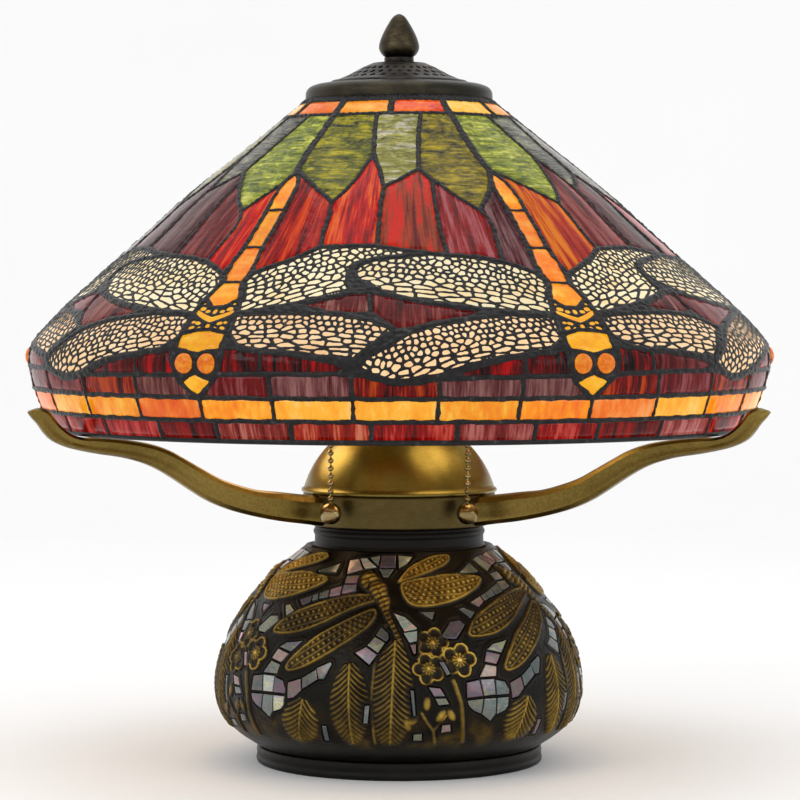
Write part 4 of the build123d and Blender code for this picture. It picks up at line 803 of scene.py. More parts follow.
WING_AX = [((3.4, 168), (30, 137)), ((56.6, 168), (24, 147)), ((4.0, 186), (29, 190)), ((56.0, 187), (27, 212))]
net_res = 0.50
for k in range(6):
    Vs, Fs, off = [], [], 0
    for wi, poly in enumerate(WING):
        V, F = net_patch(poly, *WING_AX[wi], k, net_res, 100 + 10 * wi + 57 * k, 0.84, (5.0, 3.55) if wi < 2 else (4.7, 3.25), 1.45)
        Vs.append(V); Fs.append(F + off); off += len(V)
    ob = mesh_obj(f"wing_net_{k + 1}", np.concatenate(Vs), np.concatenate(Fs))
    set_mat(ob, M["lead"]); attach(ob, "shade")
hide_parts("wing_filigree")

# thorax net: a chevron of clear glass between rows of small windows
def thorax_net(k):
    poly = BODYNET[0]
    rm = float(prof(np.array([180.0]))[0][0]) * math.pi / 180
    P = [(p * rm, s) for p, s in poly]; n = len(P); res = 0.5
    X, Y = np.meshgrid(np.arange(-13.5, 13.5, res), np.arange(164, 194, res))
    segs = [(P[a][0], P[a][1], P[(a + 1) % n][0], P[(a + 1) % n][1], 0.0) for a in range(n)]
    D = seg_dist(X, Y, segs); D = np.where(in_poly(X, Y, P), D, -D)
    e = np.full(X.shape, -9.0)
    def hole(cx, cy, rx, ry, ang=0.0):
        nonlocal e
        c, s_ = math.cos(ang), math.sin(ang)
        u = ((X - cx) * c + (Y - cy) * s_) / rx; v = (-(X - cx) * s_ + (Y - cy) * c) / ry
        e = np.maximum(e, (1 - (np.abs(u) ** 2.6 + np.abs(v) ** 2.6) ** (1 / 2.6)) * min(rx, ry))
    # chevron
    ax = np.abs(X)
    mid = 182.2 - ax * 0.38 - 0.014 * ax ** 2
    e = np.maximum(e, 1.75 - np.abs(Y - mid) - 0.02 * ax)
    for sx in (1, -1):
        hole(sx * 8.3, 174.4, 2.2, 1.5, sx * -0.2); hole(sx * 4.4, 176.2, 1.6, 1.3, 0)
        hole(sx * 9.4, 170.7, 1.2, 1.0, 0)
        hole(sx * 9.5, 183.9, 1.3, 1.0, 0); hole(sx * 6.4, 184.6, 1.8, 1.1, sx * -0.3)
        hole(sx * 9.0, 187.6, 2.0, 1.1, sx * 0.3); hole(sx * 4.7, 187.6, 1.5, 1.0, sx * 0.5)
    hole(0, 176.2, 1.3, 1.9); hole(0, 186.6, 1.4, 1.6)
    e = np.minimum(e, D - 1.2)
    h = np.where(e < 0, GLASS_H + 0.40 + 0.34 * (1 - np.exp(e / 0.3)), GLASS_H + 0.40 - 1.1 * np.minimum(e, 1.2))
    ev = np.minimum(np.minimum(e[:-1, :-1], e[1:, :-1]), np.minimum(e[:-1, 1:], e[1:, 1:]))
    dv = np.maximum(np.maximum(D[:-1, :-1], D[1:, :-1]), np.maximum(D[:-1, 1:], D[1:, 1:]))
    keep = (ev < 0.6) & (dv > 0.6)
    used, F = sheet_faces(keep)
    G = X / rm + 60 * k
    V = np.concatenate([shade_pt(G, Y, h).reshape(-1, 3), shade_pt(G, Y, np.minimum(h - 0.15, GLASS_H - 0.3)).reshape(-1, 3)])[used]
    return V, F
Vs, Fs, off = [], [], 0
for k in range(6):
    V, F = thorax_net(k); Vs.append(V); Fs.append(F + off); off += len(V)
ob = mesh_obj("thorax_nets", np.concatenate(Vs), np.concatenate(Fs))
set_mat(ob, M["lead"]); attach(ob, "shade"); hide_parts("thorax_filigree")

# =====================================================================
# cast base
# =====================================================================
BASE_PROF = np.array([(51.7, 119.4), (54.7, 116.2), (58.5, 112.9), (63.8, 109.6), (68.1, 106.4), (70.6, 103.1), (74.2, 99.8),
                      (76.6, 96.5), (78.3, 93.3), (81.6, 90), (84.6, 86.7), (86.2, 83.4), (88.4, 80.2), (90.6, 76.9), (92.3, 73.7),
                      (93.9, 70.4), (95.3, 67.1), (97.2, 63.9), (98.8, 57.3), (100.5, 50.8), (101.3, 42.5), (101, 37.6),
                      (100.5, 34.3), (99.4, 31), (98.3, 27.7), (96.6, 24.4), (94.5, 21.1), (90.6, 17.7), (86.2, 14.3),
                      (80.2, 10.9), (78.6, 9.5)], float)
_bl = np.concatenate([[0], np.cumsum(np.hypot(*np.diff(BASE_PROF, axis=0).T))])
_BS = np.arange(-6, _bl[-1] + 6, 0.5)
def _bext(k):
    v = np.interp(_BS, _bl, BASE_PROF[:, k])
    a = (BASE_PROF[1, k] - BASE_PROF[0, k]) / (_bl[1] - _bl[0]); b = (BASE_PROF[-1, k] - BASE_PROF[-3, k]) / (_bl[-1] - _bl[-3])
    v = np.where(_BS < 0, BASE_PROF[0, k] + a * _BS, v); v = np.where(_BS > _bl[-1], BASE_PROF[-1, k] + b * (_BS - _bl[-1]), v)
    g = np.exp(-0.5 * (np.arange(-20, 21) / 8.0) ** 2); g /= g.sum()
    return np.convolve(np.pad(v, 20, mode='reflect', reflect_type='odd'), g, mode='valid')
_BR, _BZ = _bext(0), _bext(1)
_btr, _btz = np.gradient(_BR, _BS), np.gradient(_BZ, _BS)
B_END = float(_bl[-1])

def base_pt(th, s, h):
    th, s, h = np.broadcast_arrays(np.asarray(th, float), np.asarray(s, float), np.asarray(h, float))
    r, z = np.interp(s, _BS, _BR), np.interp(s, _BS, _BZ)
    a, b = np.interp(s, _BS, _btr), np.interp(s, _BS, _btz); n = np.hypot(a, b)
    r = r - (b / n) * h; z = z + (a / n) * h
    t = np.radians(th)
    return np.stack([r * np.sin(t), -r * np.cos(t), z], -1)

def px(pts):
    """Traced positions: 12 units a degree, 6 units a millimetre."""
    return [(x / 12.0 - 80.0, y / 6.0) for x, y in pts]

TILE = [[(-51.3, 82.5), (-46.7, 81.3), (-45.8, 90.8), (-51.5, 91.3)],
        [(-46.7, 81.3), (-41.5, 81.3), (-41.5, 90.5), (-45.8, 90.8)],
        [(-41.5, 81.7), (-37.9, 83.3), (-36.4, 88.3), (-36.7, 90.8), (-41.5, 90.8)],
        [(-51.5, 92.0), (-45.7, 91.5), (-46.5, 100.5), (-49.2, 98.3), (-50.8, 95.8)],
        [(-45.7, 91.5), (-41.3, 91.5), (-41.5, 100.8), (-43.3, 104.7), (-46.5, 100.5)],
        [(-41.3, 91.5), (-36.8, 91.5), (-37.1, 96.7), (-38.3, 99.2), (-41.5, 101.2)],
        [(-47.1, 80.8), (-44.2, 73.3), (-40.0, 75.0), (-40.7, 80.8)],
        [(-44.6, 72.6), (-42.9, 66.2), (-37.5, 68.7), (-40.0, 74.5)],
        [(-42.9, 65.8), (-40.0, 62.5), (-33.3, 60.8), (-37.1, 68.3)],
        [(-36.2, 84.2), (-31.4, 81.3), (-30.7, 88.3), (-33.3, 92.5), (-35.8, 93.3)],
        [(-31.2, 81.2), (-26.2, 75.8), (-25.4, 82.0), (-30.7, 88.0)],
        [(-26.7, 75.5), (-21.7, 71.3), (-21.1, 73.3), (-23.3, 81.7), (-25.4, 81.7)],
        [(-57.7, 56.3), (-53.7, 48.3), (-49.6, 47.5), (-47.9, 50.8), (-52.5, 59.2), (-56.7, 58.7)],
        [(-49.3, 40.8), (-46.7, 40.0), (-42.5, 43.7), (-45.4, 48.0)],
        [(-43.3, 37.0), (-37.5, 33.3), (-36.7, 37.5), (-40.0, 40.8)],
        [(-37.5, 33.3), (-34.6, 31.7), (-33.7, 35.8), (-36.5, 37.5)],
        [(-34.6, 31.7), (-30.0, 28.7), (-29.4, 34.2), (-33.7, 35.8)],
        [(-30.0, 28.7), (-24.8, 25.8), (-24.3, 32.5), (-29.4, 34.2)],
        [(-24.8, 25.4), (-18.3, 24.7), (-17.7, 29.7), (-24.3, 32.0)],
        [(-25.0, 19.2), (-18.2, 18.0), (-18.5, 24.2), (-24.6, 24.7)],
        [(-28.2, 6.7), (-22.5, 5.0), (-17.7, 13.5), (-25.4, 18.0)],
        [(-22.5, 5.0), (-17.9, 4.5), (-10.8, 11.5), (-17.5, 13.3)],
        [(-17.0, 4.3), (-10.4, 2.5), (-10.5, 11.0)],
        [(-10.4, 2.5), (-1.3, 2.2), (-1.3, 12.0), (-10.4, 12.0)],
        [(-0.8, 2.2), (8.3, 3.3), (4.2, 9.2), (-0.4, 12.5)],
        [(-10.4, 12.5), (-2.1, 13.0), (-4.6, 19.7), (-7.5, 19.7)],
        [(29.2, 16.7), (40.0, 8.7), (41.3, 17.5), (30.8, 18.0)],
        [(-2.3, 42.5), (2.1, 45.0), (6.5, 51.7), (6.2, 53.0), (1.7, 54.2)],
        [(1.2, 54.5), (6.5, 53.2), (6.2, 59.7), (3.3, 60.8)],
        [(3.3, 61.2), (5.8, 60.8), (5.6, 66.7), (4.6, 67.5)],
        [(-6.2, 50.5), (-3.3, 55.0), (-3.2, 58.3), (-4.2, 60.3), (-8.2, 56.3)],
        [(-8.2, 56.7), (-4.3, 60.3), (-6.7, 66.7), (-10.8, 62.0)],
        [(-10.8, 62.5), (-6.7, 67.0), (-9.2, 73.3), (-14.6, 66.3)],
        [(7.5, 42.0), (13.7, 42.0), (12.1, 48.0), (9.6, 45.0)],
        [(12.1, 70.8), (14.2, 70.8), (16.2, 78.3), (14.6, 79.2)],
        [(3.1, 85.5), (4.6, 85.8), (5.2, 100.0), (4.0, 100.5)],
        [(8.5, 84.2), (12.5, 85.0), (14.2, 90.0), (10.4, 90.0)],
        [(10.4, 90.3), (14.2, 90.3), (15.4, 94.2), (11.7, 94.7)],
        [(12.9, 105.0), (15.8, 104.7), (16.2, 109.2), (12.7, 110.0)],
        [(4.2, 110.0), (7.3, 110.0), (7.3, 114.7), (4.2, 114.7)],
        [(-10.4, 94.2), (-8.5, 93.7), (-9.2, 104.2), (-11.0, 104.7)],
        [(-24.2, 106.2), (-22.3, 106.2), (-22.3, 116.2), (-24.3, 116.2)]]

W1 = px([(950, 135), (985, 100), (1020, 70), (1100, 40), (1200, 18), (1290, 15), (1320, 30), (1290, 50), (1230, 75), (1150, 95), (1080, 115), (1000, 135), (955, 145)])
W2 = px([(950, 150), (1010, 130), (1130, 118), (1250, 105), (1450, 125), (1400, 165), (1300, 200), (1200, 225), (1100, 240), (1000, 235)])
W3 = px([(880, 190), (800, 185), (700, 192), (600, 215), (500, 250), (430, 280), (385, 320), (380, 350), (430, 355), (520, 345), (620, 310), (700, 270), (780, 235), (860, 215)])
W4 = px([(850, 235), (780, 262), (700, 300), (620, 340), (560, 390), (510, 440), (505, 465), (530, 475), (600, 455), (700, 400), (780, 350), (840, 310), (870, 260)])
WINGS_B = [(W1, (950, 140), (1310, 25)), (W2, (950, 190), (1450, 130)), (W3, (880, 200), (385, 340)), (W4, (865, 245), (510, 460))]
BODY_B = [(770, 105, 25), (790, 130, 35), (850, 165, 32), (890, 215, 22), (905, 260, 12), (930, 300, 9), (960, 350, 8), (985, 420, 6)]
FEATHER = [((775, 440), (785, 700), 65), ((945, 360), (925, 720), 65), ((600, 560), (560, 710), 70)]
BLOSSOM = [(1092, 365, 55), (1190, 425, 60), (1070, 450, 55)]
STEMS = [([(1160, 490), (1185, 560), (1195, 640), (1205, 700)], 9), ([(1100, 720), (1085, 650), (1060, 620), (1040, 590)], 6), ([(1085, 650), (1130, 600)], 5),
         ([(905, 300), (870, 420), (860, 560), (870, 700)], 6)]
LEAFLET = [(1110, 600, 0.6), (1150, 600, -0.5), (1010, 615, 0.8), (990, 630, -0.3), (1060, 560, 0.1)]

def chaikin(poly, n=2):
    for _ in range(n):
        out = []
        for (x0, y0), (x1, y1) in zip(poly, poly[1:] + poly[:1]):
            out += [(0.75 * x0 + 0.25 * x1, 0.75 * y0 + 0.25 * y1), (0.25 * x0 + 0.75 * x1, 0.25 * y0 + 0.75 * y1)]
        poly = out
    return poly


def build_base():
    res = 0.56
    C = int(72 * math.pi / 180 * 96 / res); R = int(B_END / res)
    th = np.linspace(-52, 20, C + 1); ss = np.linspace(0.0, B_END, R + 1)
    TH, SS = np.meshgrid(th, ss)
    rr = np.interp(SS, _BS, _BR); mm = rr * math.pi / 180
    H = np.zeros(TH.shape); RUB = np.zeros(TH.shape)
    mm0 = mm

    def segd(p, q, dth=0.0):
        k = mm
        px_, py_ = (TH - p[0] - dth) * k, SS - p[1]
        dx, dy = (q[0] - p[0]) * k, q[1] - p[1]
        t = np.clip((px_ * dx + py_ * dy) / (dx * dx + dy * dy + 1e-9), 0, 1)
        return np.hypot(px_ - t * dx, py_ - t * dy), t
    for rep in (-1, 0, 1):
        d0 = rep * 72.0
        # wings: raised rim, veins of beads between fine ridges
        for (poly, ra, rb), gold_ in zip(WINGS_B, (0.36, 0.33, 0.07, 0.09)):
            P = [(p + d0, s) for p, s in chaikin(poly)]
            if max(p for p, _ in P) < -55 or min(p for p, _ in P) > 23:
                continue
            D = np.full(TH.shape, 1e9)
            for a, b in zip(P, P[1:] + P[:1]):
                D = np.minimum(D, segd(a, b)[0])
            ins = in_poly(TH, SS, P)
            D = np.where(ins, D, -D)
            r0 = px([ra])[0]; r1 = px([rb])[0]
            km = np.interp((r0[1] + r1[1]) / 2, _BS, _BR) * math.pi / 180
            u = np.array([(r1[0] - r0[0]) * km, r1[1] - r0[1]]); L = np.linalg.norm(u); u /= L
            x, y = (TH - r0[0] - d0) * km, SS - r0[1]
            a = x * u[0] + y * u[1]; b = -x * u[1] + y * u[0]
            rim = np.exp(-((D - 0.9) / 0.8) ** 2) * 1.7
            fan = b / (0.30 + 0.70 * np.clip(a / (L * 0.6), 0, 1.0) + 1e-6)
            row_ = np.floor((fan + 2.1) / 4.2)
            vein = np.exp(-((np.mod(fan, 4.2) - 2.1) / 0.38) ** 2)
            off_ = np.mod(a + row_ * 1.7, 3.3) - 1.65
            acr = np.mod(fan + 2.1, 4.2) - 2.1
            bead = np.exp(-((off_ / 0.85) ** 2 + (acr / 0.95) ** 2))
            plane = np.clip(D / 1.6, 0, 1)
            inner = 0.60 * plane + np.clip(D - 1.3, 0, 1) * (0.85 * vein + 1.15 * bead)
            H = np.where(ins, np.maximum(H, inner), H); H = np.maximum(H, np.where(D > -2.2, rim * 1.0, 0))
            gold = gold_
            RUB = np.where(ins, np.maximum(RUB * 0.3, gold * plane + np.clip(D - 1.3, 0, 1) * ((0.24 + 0.4 * gold) * vein + (0.36 + 0.75 * gold) * bead)), RUB)
            RUB = np.maximum(RUB, rim * (0.22 + 0.45 * gold))
        # dragonfly's body: a beaded, tapering tail with a round head
        for (x0, y0, q0), (x1, y1, q1) in zip(BODY_B, BODY_B[1:]):
            p, q = px([(x0, y0)])[0], px([(x1, y1)])[0]
            d, t = segd((p[0], p[1]), (q[0], q[1]), d0)
            w = (q0 + (q1 - q0) * t) / 6.0
            seg = np.sqrt(np.clip(1 - (d / w) ** 2, 0, None))
            ring = 0.5 + 0.5 * np.cos(2 * math.pi * (SS + 0.45 * (TH - d0) * mm) / 3.1)
            groove = 1 - 0.35 * np.exp(-(d / (0.16 * w + 0.2)) ** 2)
            H = np.where(seg > 0, np.maximum(H * 0.2, seg * (0.9 + 0.24 * w) * (0.72 + 0.28 * ring) * groove), H)
            RUB = np.where(seg > 0, 0.10 + 0.62 * seg ** 2 * ring * groove, RUB)
        # feathered leaves with herringbone barbs
        for p, q, wd in FEATHER:
            a, b = px([p])[0], px([q])[0]
            d, t = segd(a, b, d0)
            km = np.interp((a[1] + b[1]) / 2, _BS, _BR) * math.pi / 180
            u = np.array([(b[0] - a[0]) * km, b[1] - a[1]]); L = np.linalg.norm(u); u /= L
            x, y = (TH - a[0] - d0) * km, SS - a[1]
            al = x * u[0] + y * u[1]; ac = -x * u[1] + y * u[0]
            w = wd / 6.0 * np.sqrt(np.clip(np.sin(np.clip(al / L, 0, 1) * math.pi * 0.93 + 0.1), 0, 1))
            m = (np.abs(ac) < w) & (al > -1) & (al < L + 3)
            ab = np.abs(ac)
            barb = (0.5 + 0.5 * np.cos(2 * math.pi * (al - ab * 1.25 + 0.045 * ab * ab) / 3.0)) ** 1.6
            mid = np.exp(-(ac / 0.7) ** 2)
            edge = np.clip((w - ab) / 2.0, 0, 1)
            h = np.sqrt(edge) * (0.35 + 1.05 * barb * np.clip(ab / 1.2, 0, 1)) + 1.1 * mid * edge
            H = np.where(m, np.maximum(H * 0.3, h), H)
            RUB = np.where(m, np.maximum(0.03 + 0.42 * barb * np.clip(ab / 1.2, 0, 1) * (1.15 - 0.5 * al / L), 0.55 * mid), RUB)
        # blossoms: five petals round a beaded centre
        for cx, cy, cr in BLOSSOM:
            c = px([(cx, cy)])[0]
            x, y = (TH - c[0] - d0) * mm, SS - c[1]
            R_ = cr / 6.0; an = np.arctan2(y, x) + cx; r = np.hypot(x, y) / R_
            for q in range(5):
                t = 2 * math.pi * q / 5 + cx
                pd = np.hypot(x - 0.56 * R_ * math.cos(t), y - 0.56 * R_ * math.sin(t)) / (0.43 * R_)
                m = pd < 1.0
                dome_ = 0.35 + 0.45 * pd ** 2
                rim = np.exp(-((pd - 0.84) / 0.15) ** 2)
                H = np.where(m, np.maximum(H * 0.6, dome_ * 0.9 + 0.95 * rim), H)
                RUB = np.where(m, 0.05 + 0.60 * rim * (r > 0.62), RUB)
            m = r < 0.42
            star = 0.5 + 0.5 * np.cos(11 * an)
            H = np.where(m, 0.5 + 0.5 * star * np.clip(r / 0.15, 0, 1) + 1.0 * np.exp(-(r / 0.13) ** 2), H)
            RUB = np.where(m, 0.12 + 0.42 * star * (r < 0.38) + 0.4 * np.exp(-(r / 0.12) ** 2), RUB)
        for pts, w in STEMS:
            for a, b in zip(pts, pts[1:]):
                pa, pb = px([a])[0], px([b])[0]
                d, t = segd(pa, pb, d0)
                s_ = np.sqrt(np.clip(1 - (d / (w / 6.0)) ** 2, 0, 1))
                H = np.maximum(H, s_ * 1.0); RUB = np.maximum(RUB, 0.4 * s_)
        for cx, cy, an in LEAFLET:
            c = px([(cx, cy)])[0]; x, y = (TH - c[0] - d0) * mm, SS - c[1]
            u = (x * math.cos(an) + y * math.sin(an)) / 2.2; v = (-x * math.sin(an) + y * math.cos(an)) / 4.2
            s_ = np.sqrt(np.clip(1 - u * u - v * v, 0, 1)); H = np.maximum(H, s_ * 1.1); RUB = np.maximum(RUB, 0.55 * s_)
    # plain moulded foot band
    foot = np.clip((SS - 116.0) / 3.0, 0, 1)
    H = H * (1 - foot); RUB = RUB * (1 - foot) + foot * 0.12
    glaze = np.clip((SS - 92.0) / 20.0, 0, 1) * np.clip((128.0 - SS) / 10.0, 0, 1)
    RUB = np.maximum(RUB, 0.40 * glaze * np.clip(0.8 + 0.5 * wave_noise(TH * 1.6, SS, 22.0, 75), 0, 1))
    top = np.clip((3.5 - SS) / 2.5, 0, 1); H = H * (1 - top); RUB = RUB * (1 - top)
    # cast surface
    tex = 0.10 * wave_noise(TH * 1.6, SS, 3.0, 71) + 0.07 * wave_noise(TH * 1.6, SS, 1.7, 72)
    fade = np.clip(np.minimum(TH + 52, 20 - TH) / 2.0, 0, 1)
    H = H + tex * (1 - 0.7 * foot) * (1 - top) * fade
    # pearl tiles sit in their own shallow beds
    BED = np.full(TH.shape, -9.0)
    for poly in TILE:
        for rep in (-1, 0, 1):
            P = [(p + rep * 72.0, s) for p, s in poly]
            if max(p for p, _ in P) < -55 or min(p for p, _ in P) > 23:
                continue
            D = np.full(TH.shape, 1e9)
            for a, b in zip(P, P[1:] + P[:1]):
                D = np.minimum(D, segd(a, b)[0])
            BED = np.maximum(BED, np.where(in_poly(TH, SS, P), D, -D))
    bed = np.clip((BED + 0.1) / 0.5, 0, 1)
    nearby = np.clip((BED + 3.0) / 2.0, 0, 1)
    H = H * (1 - 0.6 * nearby) + 0.6 * nearby * np.minimum(H, 0.5)
    H = np.maximum(H, 0.42 * np.exp(-((BED + 1.0) / 0.7) ** 2)); RUB = RUB * (1 - 0.75 * nearby)
    H = H * (1 - bed) + bed * (-1.4)
    RUB = RUB * (1 - bed)
    nrow, ncol = TH.shape
    idx = np.arange(TH.size).reshape(TH.shape)
    a, b, c, d = idx[:-1, :-1], idx[:-1, 1:], idx[1:, 1:], idx[1:, :-1]
    F0 = np.stack([a, d, c, b], -1).reshape(-1, 4)
    Nn = TH.size
    cut = 0
    for k in range(5):
        V = np.concatenate([base_pt(TH + 72 * k, SS, H - 0.55).reshape(-1, 3),
                            base_pt(th + 72 * k, 0.0, -3.4), base_pt(th + 72 * k, B_END, -3.4)])
        top_i = np.arange(ncol) + Nn; bot_i = np.arange(ncol) + Nn + ncol
        F1 = np.stack([top_i[:-1], idx[0, :-1], idx[0, 1:], top_i[1:]], -1)
        F2 = np.stack([idx[-1, :-1], bot_i[:-1], bot_i[1:], idx[-1, 1:]], -1)
        ob = mesh_obj(f"cast_body_{k + 1}", V, np.concatenate([F0, F1, F2]))
        attr(ob, "rub", np.concatenate([np.clip(RUB, 0, 1).ravel(), np.full(2 * ncol, 0.1)]))
        attr(ob, "high", np.concatenate([np.clip(H, -1.5, 3).ravel(), np.zeros(2 * ncol)]))
        set_mat(ob, M["cast"]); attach(ob, "root")
        if k == 0:
            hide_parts("base_shell")

    # pearl tiles
    V, F, PV, PT = [], [], [], []
    off = 0
    for rep in range(5):
        for ti, poly in enumerate(TILE):
            sm = sum(s for _, s in poly) / len(poly); km = float(np.interp(sm, _BS, _BR)) * math.pi / 180
            P = [(p * km, s) for p, s in poly]
            fl = inset(densify(P, 2.4), 0.42)
            n = len(fl)
            cx, cy = fl.mean(0)
            rings = [(1.0, -1.8), (1.0, -0.34), (0.955, -0.12), (0.88, -0.06), (0.60, -0.03), (0.3, 0.0)]
            rnd = rng.random(5)
            tx, ty = (rnd[3] - 0.5) * 0.03, (rnd[4] - 0.5) * 0.03
            for f, h in rings:
                q = np.c_[cx + (fl[:, 0] - cx) * f, cy + (fl[:, 1] - cy) * f]
                hh = h + (tx * (q[:, 0] - cx) + ty * (q[:, 1] - cy) if h > -1 else 0)
                V.append(base_pt(q[:, 0] / km + 72 * rep, q[:, 1], hh))
                PV.append(np.c_[q * 0.01, np.full(n, rnd[0])])
            V.append(base_pt(np.array([cx / km + 72 * rep]), np.array([cy]), np.array([0.02]))); PV.append(np.array([[cx * 0.01, cy * 0.01, rnd[0]]]))
            tot = n * len(rings) + 1
            PT.append(np.tile(rnd[:3], (tot, 1)))
            ar = np.sum(fl[:, 0] * np.roll(fl[:, 1], -1) - np.roll(fl[:, 0], -1) * fl[:, 1])
            for i in range(len(rings) - 1):
                for q in range(n):
                    u, v = off + i * n + q, off + i * n + (q + 1) % n
                    F.append((u, u + n, v + n, v) if ar > 0 else (u, v, v + n, u + n))
            last = off + (len(rings) - 1) * n; c = off + tot - 1
            for q in range(n):
                F.append((last + q, c, last + (q + 1) % n) if ar > 0 else (last + q, last + (q + 1) % n, c))
            F.append(tuple(off + q for q in (range(n) if ar > 0 else range(n - 1, -1, -1))))
            off += tot
    ob = mesh_obj("pearl_tiles", np.concatenate(V), F, smooth=False)
    attr(ob, "sheet", np.concatenate(PV)); attr(ob, "piece", np.concatenate(PT))
    set_mat(ob, M["pearl"]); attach(ob, "root"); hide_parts("mosaic_tiles")


def cast_material():
    m, nt, bs = new_mat("cast_bronze_patina"); bs.inputs["Specular IOR Level"].default_value = 0.4
    tc = N(nt, "ShaderNodeTexCoord").outputs["Object"]
    rub = attr_n(nt, "rub").outputs["Fac"]; high = attr_n(nt, "high").outputs["Fac"]
    n1 = noise(nt, tc, 90.0, 4.0, 0.62); n2 = noise(nt, tc, 14.0, 3.0, 0.55); n3 = noise(nt, tc, 420.0, 3.0, 0.6)
    lift = math_(nt, 'MULTIPLY', math_(nt, 'SUBTRACT', high, 0.25), 0.62)
    f = math_(nt, 'ADD', math_(nt, 'MULTIPLY', rub, 0.82), math_(nt, 'MULTIPLY', lift, 0.30))
    f = math_(nt, 'MULTIPLY', f, math_(nt, 'ADD', math_(nt, 'MULTIPLY', n2, 1.1), 0.35))
    f = math_(nt, 'ADD', f, math_(nt, 'MULTIPLY', math_(nt, 'SUBTRACT', n1, 0.5), 0.55), True)
    col = ramp(nt, f, [(0.0, (0.006, 0.005, 0.0035)), (0.16, (0.020, 0.014, 0.006)), (0.36, (0.090, 0.057, 0.011)), (0.60, (0.29, 0.185, 0.028)), (0.84, (0.55, 0.38, 0.08)), (1.0, (0.82, 0.60, 0.20))])
    nt.links.new(col, bs.inputs["Base Color"])
    bs.inputs["Metallic"].default_value = 0.8
    r = math_(nt, 'ADD', math_(nt, 'MULTIPLY', n1, 0.30), 0.24)
    nt.links.new(r, bs.inputs["Roughness"])
    bump(nt, bs, math_(nt, 'ADD', n3, n1), 0.35, 0.0004)
    return m
M["cast"] = cast_material()

def pearl_material():
    m, nt, bs = new_mat("mother_of_pearl")
    co = attr_n(nt, "sheet").outputs["Vector"]; tn = attr_n(nt, "piece").outputs["Vector"]
    sep = N(nt, "ShaderNodeSeparateXYZ"); nt.links.new(tn, sep.inputs[0])
    n1 = noise(nt, stretch(nt, co, (11, 24, 23)), 1.0, 4.0, 0.6, 1.2)
    n2 = noise(nt, stretch(nt, co, (38, 60, 41)), 1.0, 3.0, 0.6, 0.8)
    f = math_(nt, 'ADD', math_(nt, 'MULTIPLY', n1, 0.7), math_(nt, 'MULTIPLY', n2, 0.3))
    f = math_(nt, 'FRACT', math_(nt, 'ADD', math_(nt, 'MULTIPLY', f, 1.5), sep.outputs[0]))
    hue = ramp(nt, f, [(0.0, (0.20, 0.215, 0.22)), (0.13, (0.13, 0.24, 0.24)), (0.26, (0.26, 0.29, 0.27)), (0.38, (0.45, 0.29, 0.20)), (0.50, (0.50, 0.19, 0.33)), (0.60, (0.30, 0.22, 0.29)), (0.72, (0.16, 0.17, 0.27)), (0.82, (0.34, 0.36, 0.12)), (0.90, (0.24, 0.27, 0.24)), (1.0, (0.20, 0.215, 0.22))])
    base = ramp(nt, n2, [(0.3, (0.07, 0.072, 0.07)), (0.55, (0.19, 0.19, 0.18)), (0.8, (0.42, 0.41, 0.38))])
    col = mixc(nt, 0.66, base, hue)
    dim = ramp(nt, sep.outputs[1], [(0.0, (0.26, 0.26, 0.28)), (0.5, (0.52, 0.52, 0.53)), (0.85, (0.85, 0.83, 0.78)), (1.0, (1.9, 1.8, 1.7))])
    col = mixc(nt, 1.0, col, dim, 'MULTIPLY')
    nt.links.new(col, bs.inputs["Base Color"])
    bs.inputs["Metallic"].default_value = 0.3; bs.inputs["Roughness"].default_value = 0.25
    bs.inputs["Coat Weight"].default_value = 0.3; bs.inputs["Coat Roughness"].default_value = 0.08
    bump(nt, bs, n2, 0.12, 0.0005)
    return m
M["pearl"] = pearl_material()
build_base()

# =====================================================================
# turned parts
# =====================================================================
def lathe(name, pts, seg=128, wobble=0.0, ripple=None):
    """Closed outline turned round the axis; points are (r, z) and the
    outline runs anticlockwise when r is drawn to the right."""
    V, F = [], []
    n = len(pts)
    for q in range(seg):
        a = 2 * math.pi * q / seg
        for (r, z) in pts:
            k = 1.0
            if ripple and r > 1e-6:
                k += ripple(a, r, z)
            V.append((r * k * math.sin(a), -r * k * math.cos(a), z))
    for q in range(seg):
        o0, o1 = q * n, ((q + 1) % seg) * n
        for i in range(n):
            j = (i + 1) % n
            F.append((o0 + i, o1 + i, o1 + j, o0 + j))
    ob = mesh_obj(name, V, F)
    return ob

def soft(pts, rad=0.5, m=3, closed=True):
    """Rounds the corners of an outline."""
    out = []
    n = len(pts)
    for i in range(n):
        p0, p, p1 = np.array(pts[i - 1]), np.array(pts[i]), np.array(pts[(i + 1) % n])
        a, b = p0 - p, p1 - p
        la, lb = np.linalg.norm(a), np.linalg.norm(b)
        t = min(rad, la * 0.45, lb * 0.45)
        A, B = p + a / la * t, p + b / lb * t
        for k in range(m + 1):
            u = k / m
            out.append(tuple((1 - u) ** 2 * A + 2 * u * (1 - u) * p + u * u * B))
    return out

def shade_auto(ob, deg=35):
    me = ob.data
    me.polygons.foreach_set("use_smooth", [True] * len(me.polygons))
    me.set_sharp_from_angle(angle=math.radians(deg))

# foot ring
ob = lathe("vis_foot_ring", soft([(78.4, 0.2), (78.9, 2.2), (78.3, 4.2), (78.6, 6.4), (78.2, 9.3), (63.8, 9.3), (63.8, 0.4), (66, 0.0), (77.0, 0.0)], 0.6, 3), 160)
set_mat(ob, M["black"]); shade_auto(ob, 40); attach(ob, "root"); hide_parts("foot_ring")

# collar with its beads
ob = lathe("vis_base_collar", soft([(47.0, 117.95), (47.4, 119.0), (46.5, 120.4), (46.4, 124.6), (47.2, 126.0), (47.2, 127.2), (46.4, 128.4), (46.3, 129.6), (45.6, 130.25), (40.6, 130.25), (40.6, 117.95)], 0.55, 3), 144)
set_mat(ob, M["black"]); shade_auto(ob, 40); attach(ob, "root"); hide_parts("base_collar")
